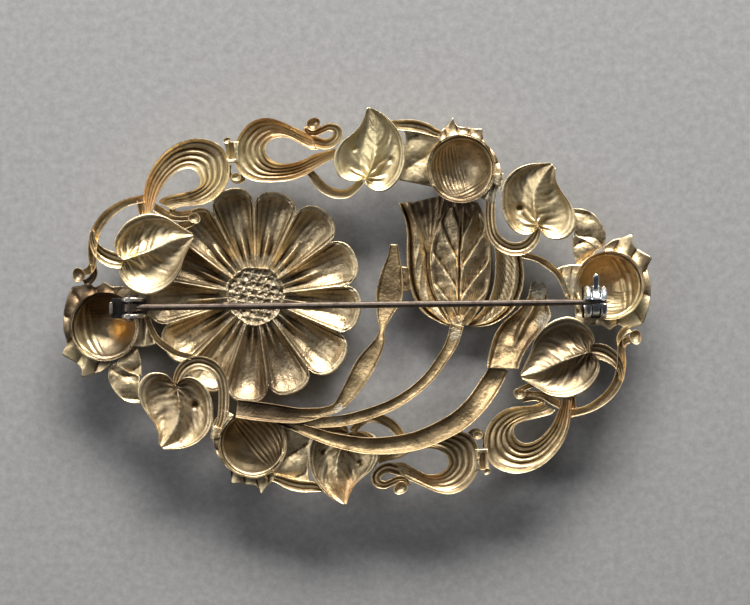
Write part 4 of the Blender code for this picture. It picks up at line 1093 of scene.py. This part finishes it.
def make_hinge():
    """The folded bracket: two ears with flattened tops, the deck they rise from and the stop behind them."""
    low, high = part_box("hinge_bracket")
    left, right, floor = low.x / MM, high.x / MM, low.z / MM
    near, top = left + 1.4, high.z / MM
    ear = [(near + 0.02, floor + 0.1), (near + 0.12, 8.5), (near + 0.38, 9.45), (near + 0.85, top - 0.06),
           (near + 1.5, top), (near + 2.4, top - 0.04), (near + 3.05, top - 0.4), (near + 3.45, 8.6),
           (right - 0.02, floor + 0.1)]
    parts = [
        rounded_plate(ear, high.y / MM - EAR_THICK, high.y / MM, 0.16),
        rounded_plate(ear, low.y / MM, low.y / MM + EAR_THICK, 0.16),
        rounded_box((left, low.y / MM, floor), (right, high.y / MM, floor + 0.5), 0.14),
        rounded_box((left + 0.02, -0.75, floor + 0.1), (left + 0.52, 1.05, 9.6), 0.14),
    ]
    add_finding("hinge_ears_and_stop", parts, HINGE_BRASS, "hinge_bracket")


def make_findings():
    make_hinge()
    dress_cad("hinge_rivet", STEEL, 0.05)
    dress_cad("pin_stem", STEEL)
    make_catch()


# ---- floor, light, camera


def make_floor():
    made, tree, shader = shader_tree("floor")
    coords = coordinates(tree)
    weave = speckle(tree, coords, 900.0, 4.0, 0.7)
    colour = blend(tree, span(tree, weave, 0.3, 0.7), (0.26, 0.26, 0.265, 1.0), (0.35, 0.35, 0.355, 1.0))
    tree.links.new(colour, shader.inputs["Base Color"])
    shader.inputs["Roughness"].default_value = 0.9
    bpy.ops.mesh.primitive_plane_add(size=3.0, location=(0, 0, -0.00005))
    floor = bpy.context.object
    floor.name = "floor"
    floor.data.materials.append(made)


def add_light(name, place, size, power, colour=(1, 1, 1)):
    """A rectangle in metres and watts, facing the middle of the brooch."""
    data = bpy.data.lights.new(name, "AREA")
    data.shape = "RECTANGLE"
    data.size, data.size_y = size
    data.energy = power
    data.color = colour
    obj = bpy.data.objects.new(name, data)
    obj.location = place
    obj.rotation_euler = (-Vector(place)).to_track_quat("-Z", "Y").to_euler()
    bpy.context.scene.collection.objects.link(obj)


def make_sky():
    """Soft surroundings, brighter on the window's side."""
    world = bpy.data.worlds.new("studio")
    world.use_nodes = True
    tree = world.node_tree
    lit = span(tree, one_axis(tree, coordinates(tree, "Generated"), 1), -0.5, 0.9)
    background = tree.nodes["Background"]
    colour = blend(tree, lit, (0.10, 0.10, 0.11, 1.0), (0.85, 0.87, 0.9, 1.0))
    tree.links.new(colour, background.inputs["Color"])
    background.inputs["Strength"].default_value = 0.36
    bpy.context.scene.world = world


def make_light_and_camera():
    make_sky()
    add_light("window", (0.05, 0.58, 0.275), (0.52, 0.2), 10.0, (1.0, 0.97, 0.92))
    add_light("side", (-0.45, 0.1, 0.4), (0.2, 0.3), 0.7)
    bpy.context.scene.view_settings.view_transform = "Standard"
    data = bpy.data.cameras.new("camera")
    data.lens = SENSOR * (CAMERA_HEIGHT - RIM_Z) / PICTURE_WIDTH
    data.sensor_width = SENSOR
    camera = bpy.data.objects.new("camera", data)
    camera.location = (PICTURE_CENTRE[0] * MM, PICTURE_CENTRE[1] * MM, CAMERA_HEIGHT * MM)
    camera.rotation_euler = (0, 0, math.radians(PICTURE_TURN))
    bpy.context.scene.collection.objects.link(camera)
    bpy.context.scene.camera = camera


make_light_and_camera()
make_wreath()
make_daisy()
make_tulip()
make_stems()
make_findings()
make_floor()
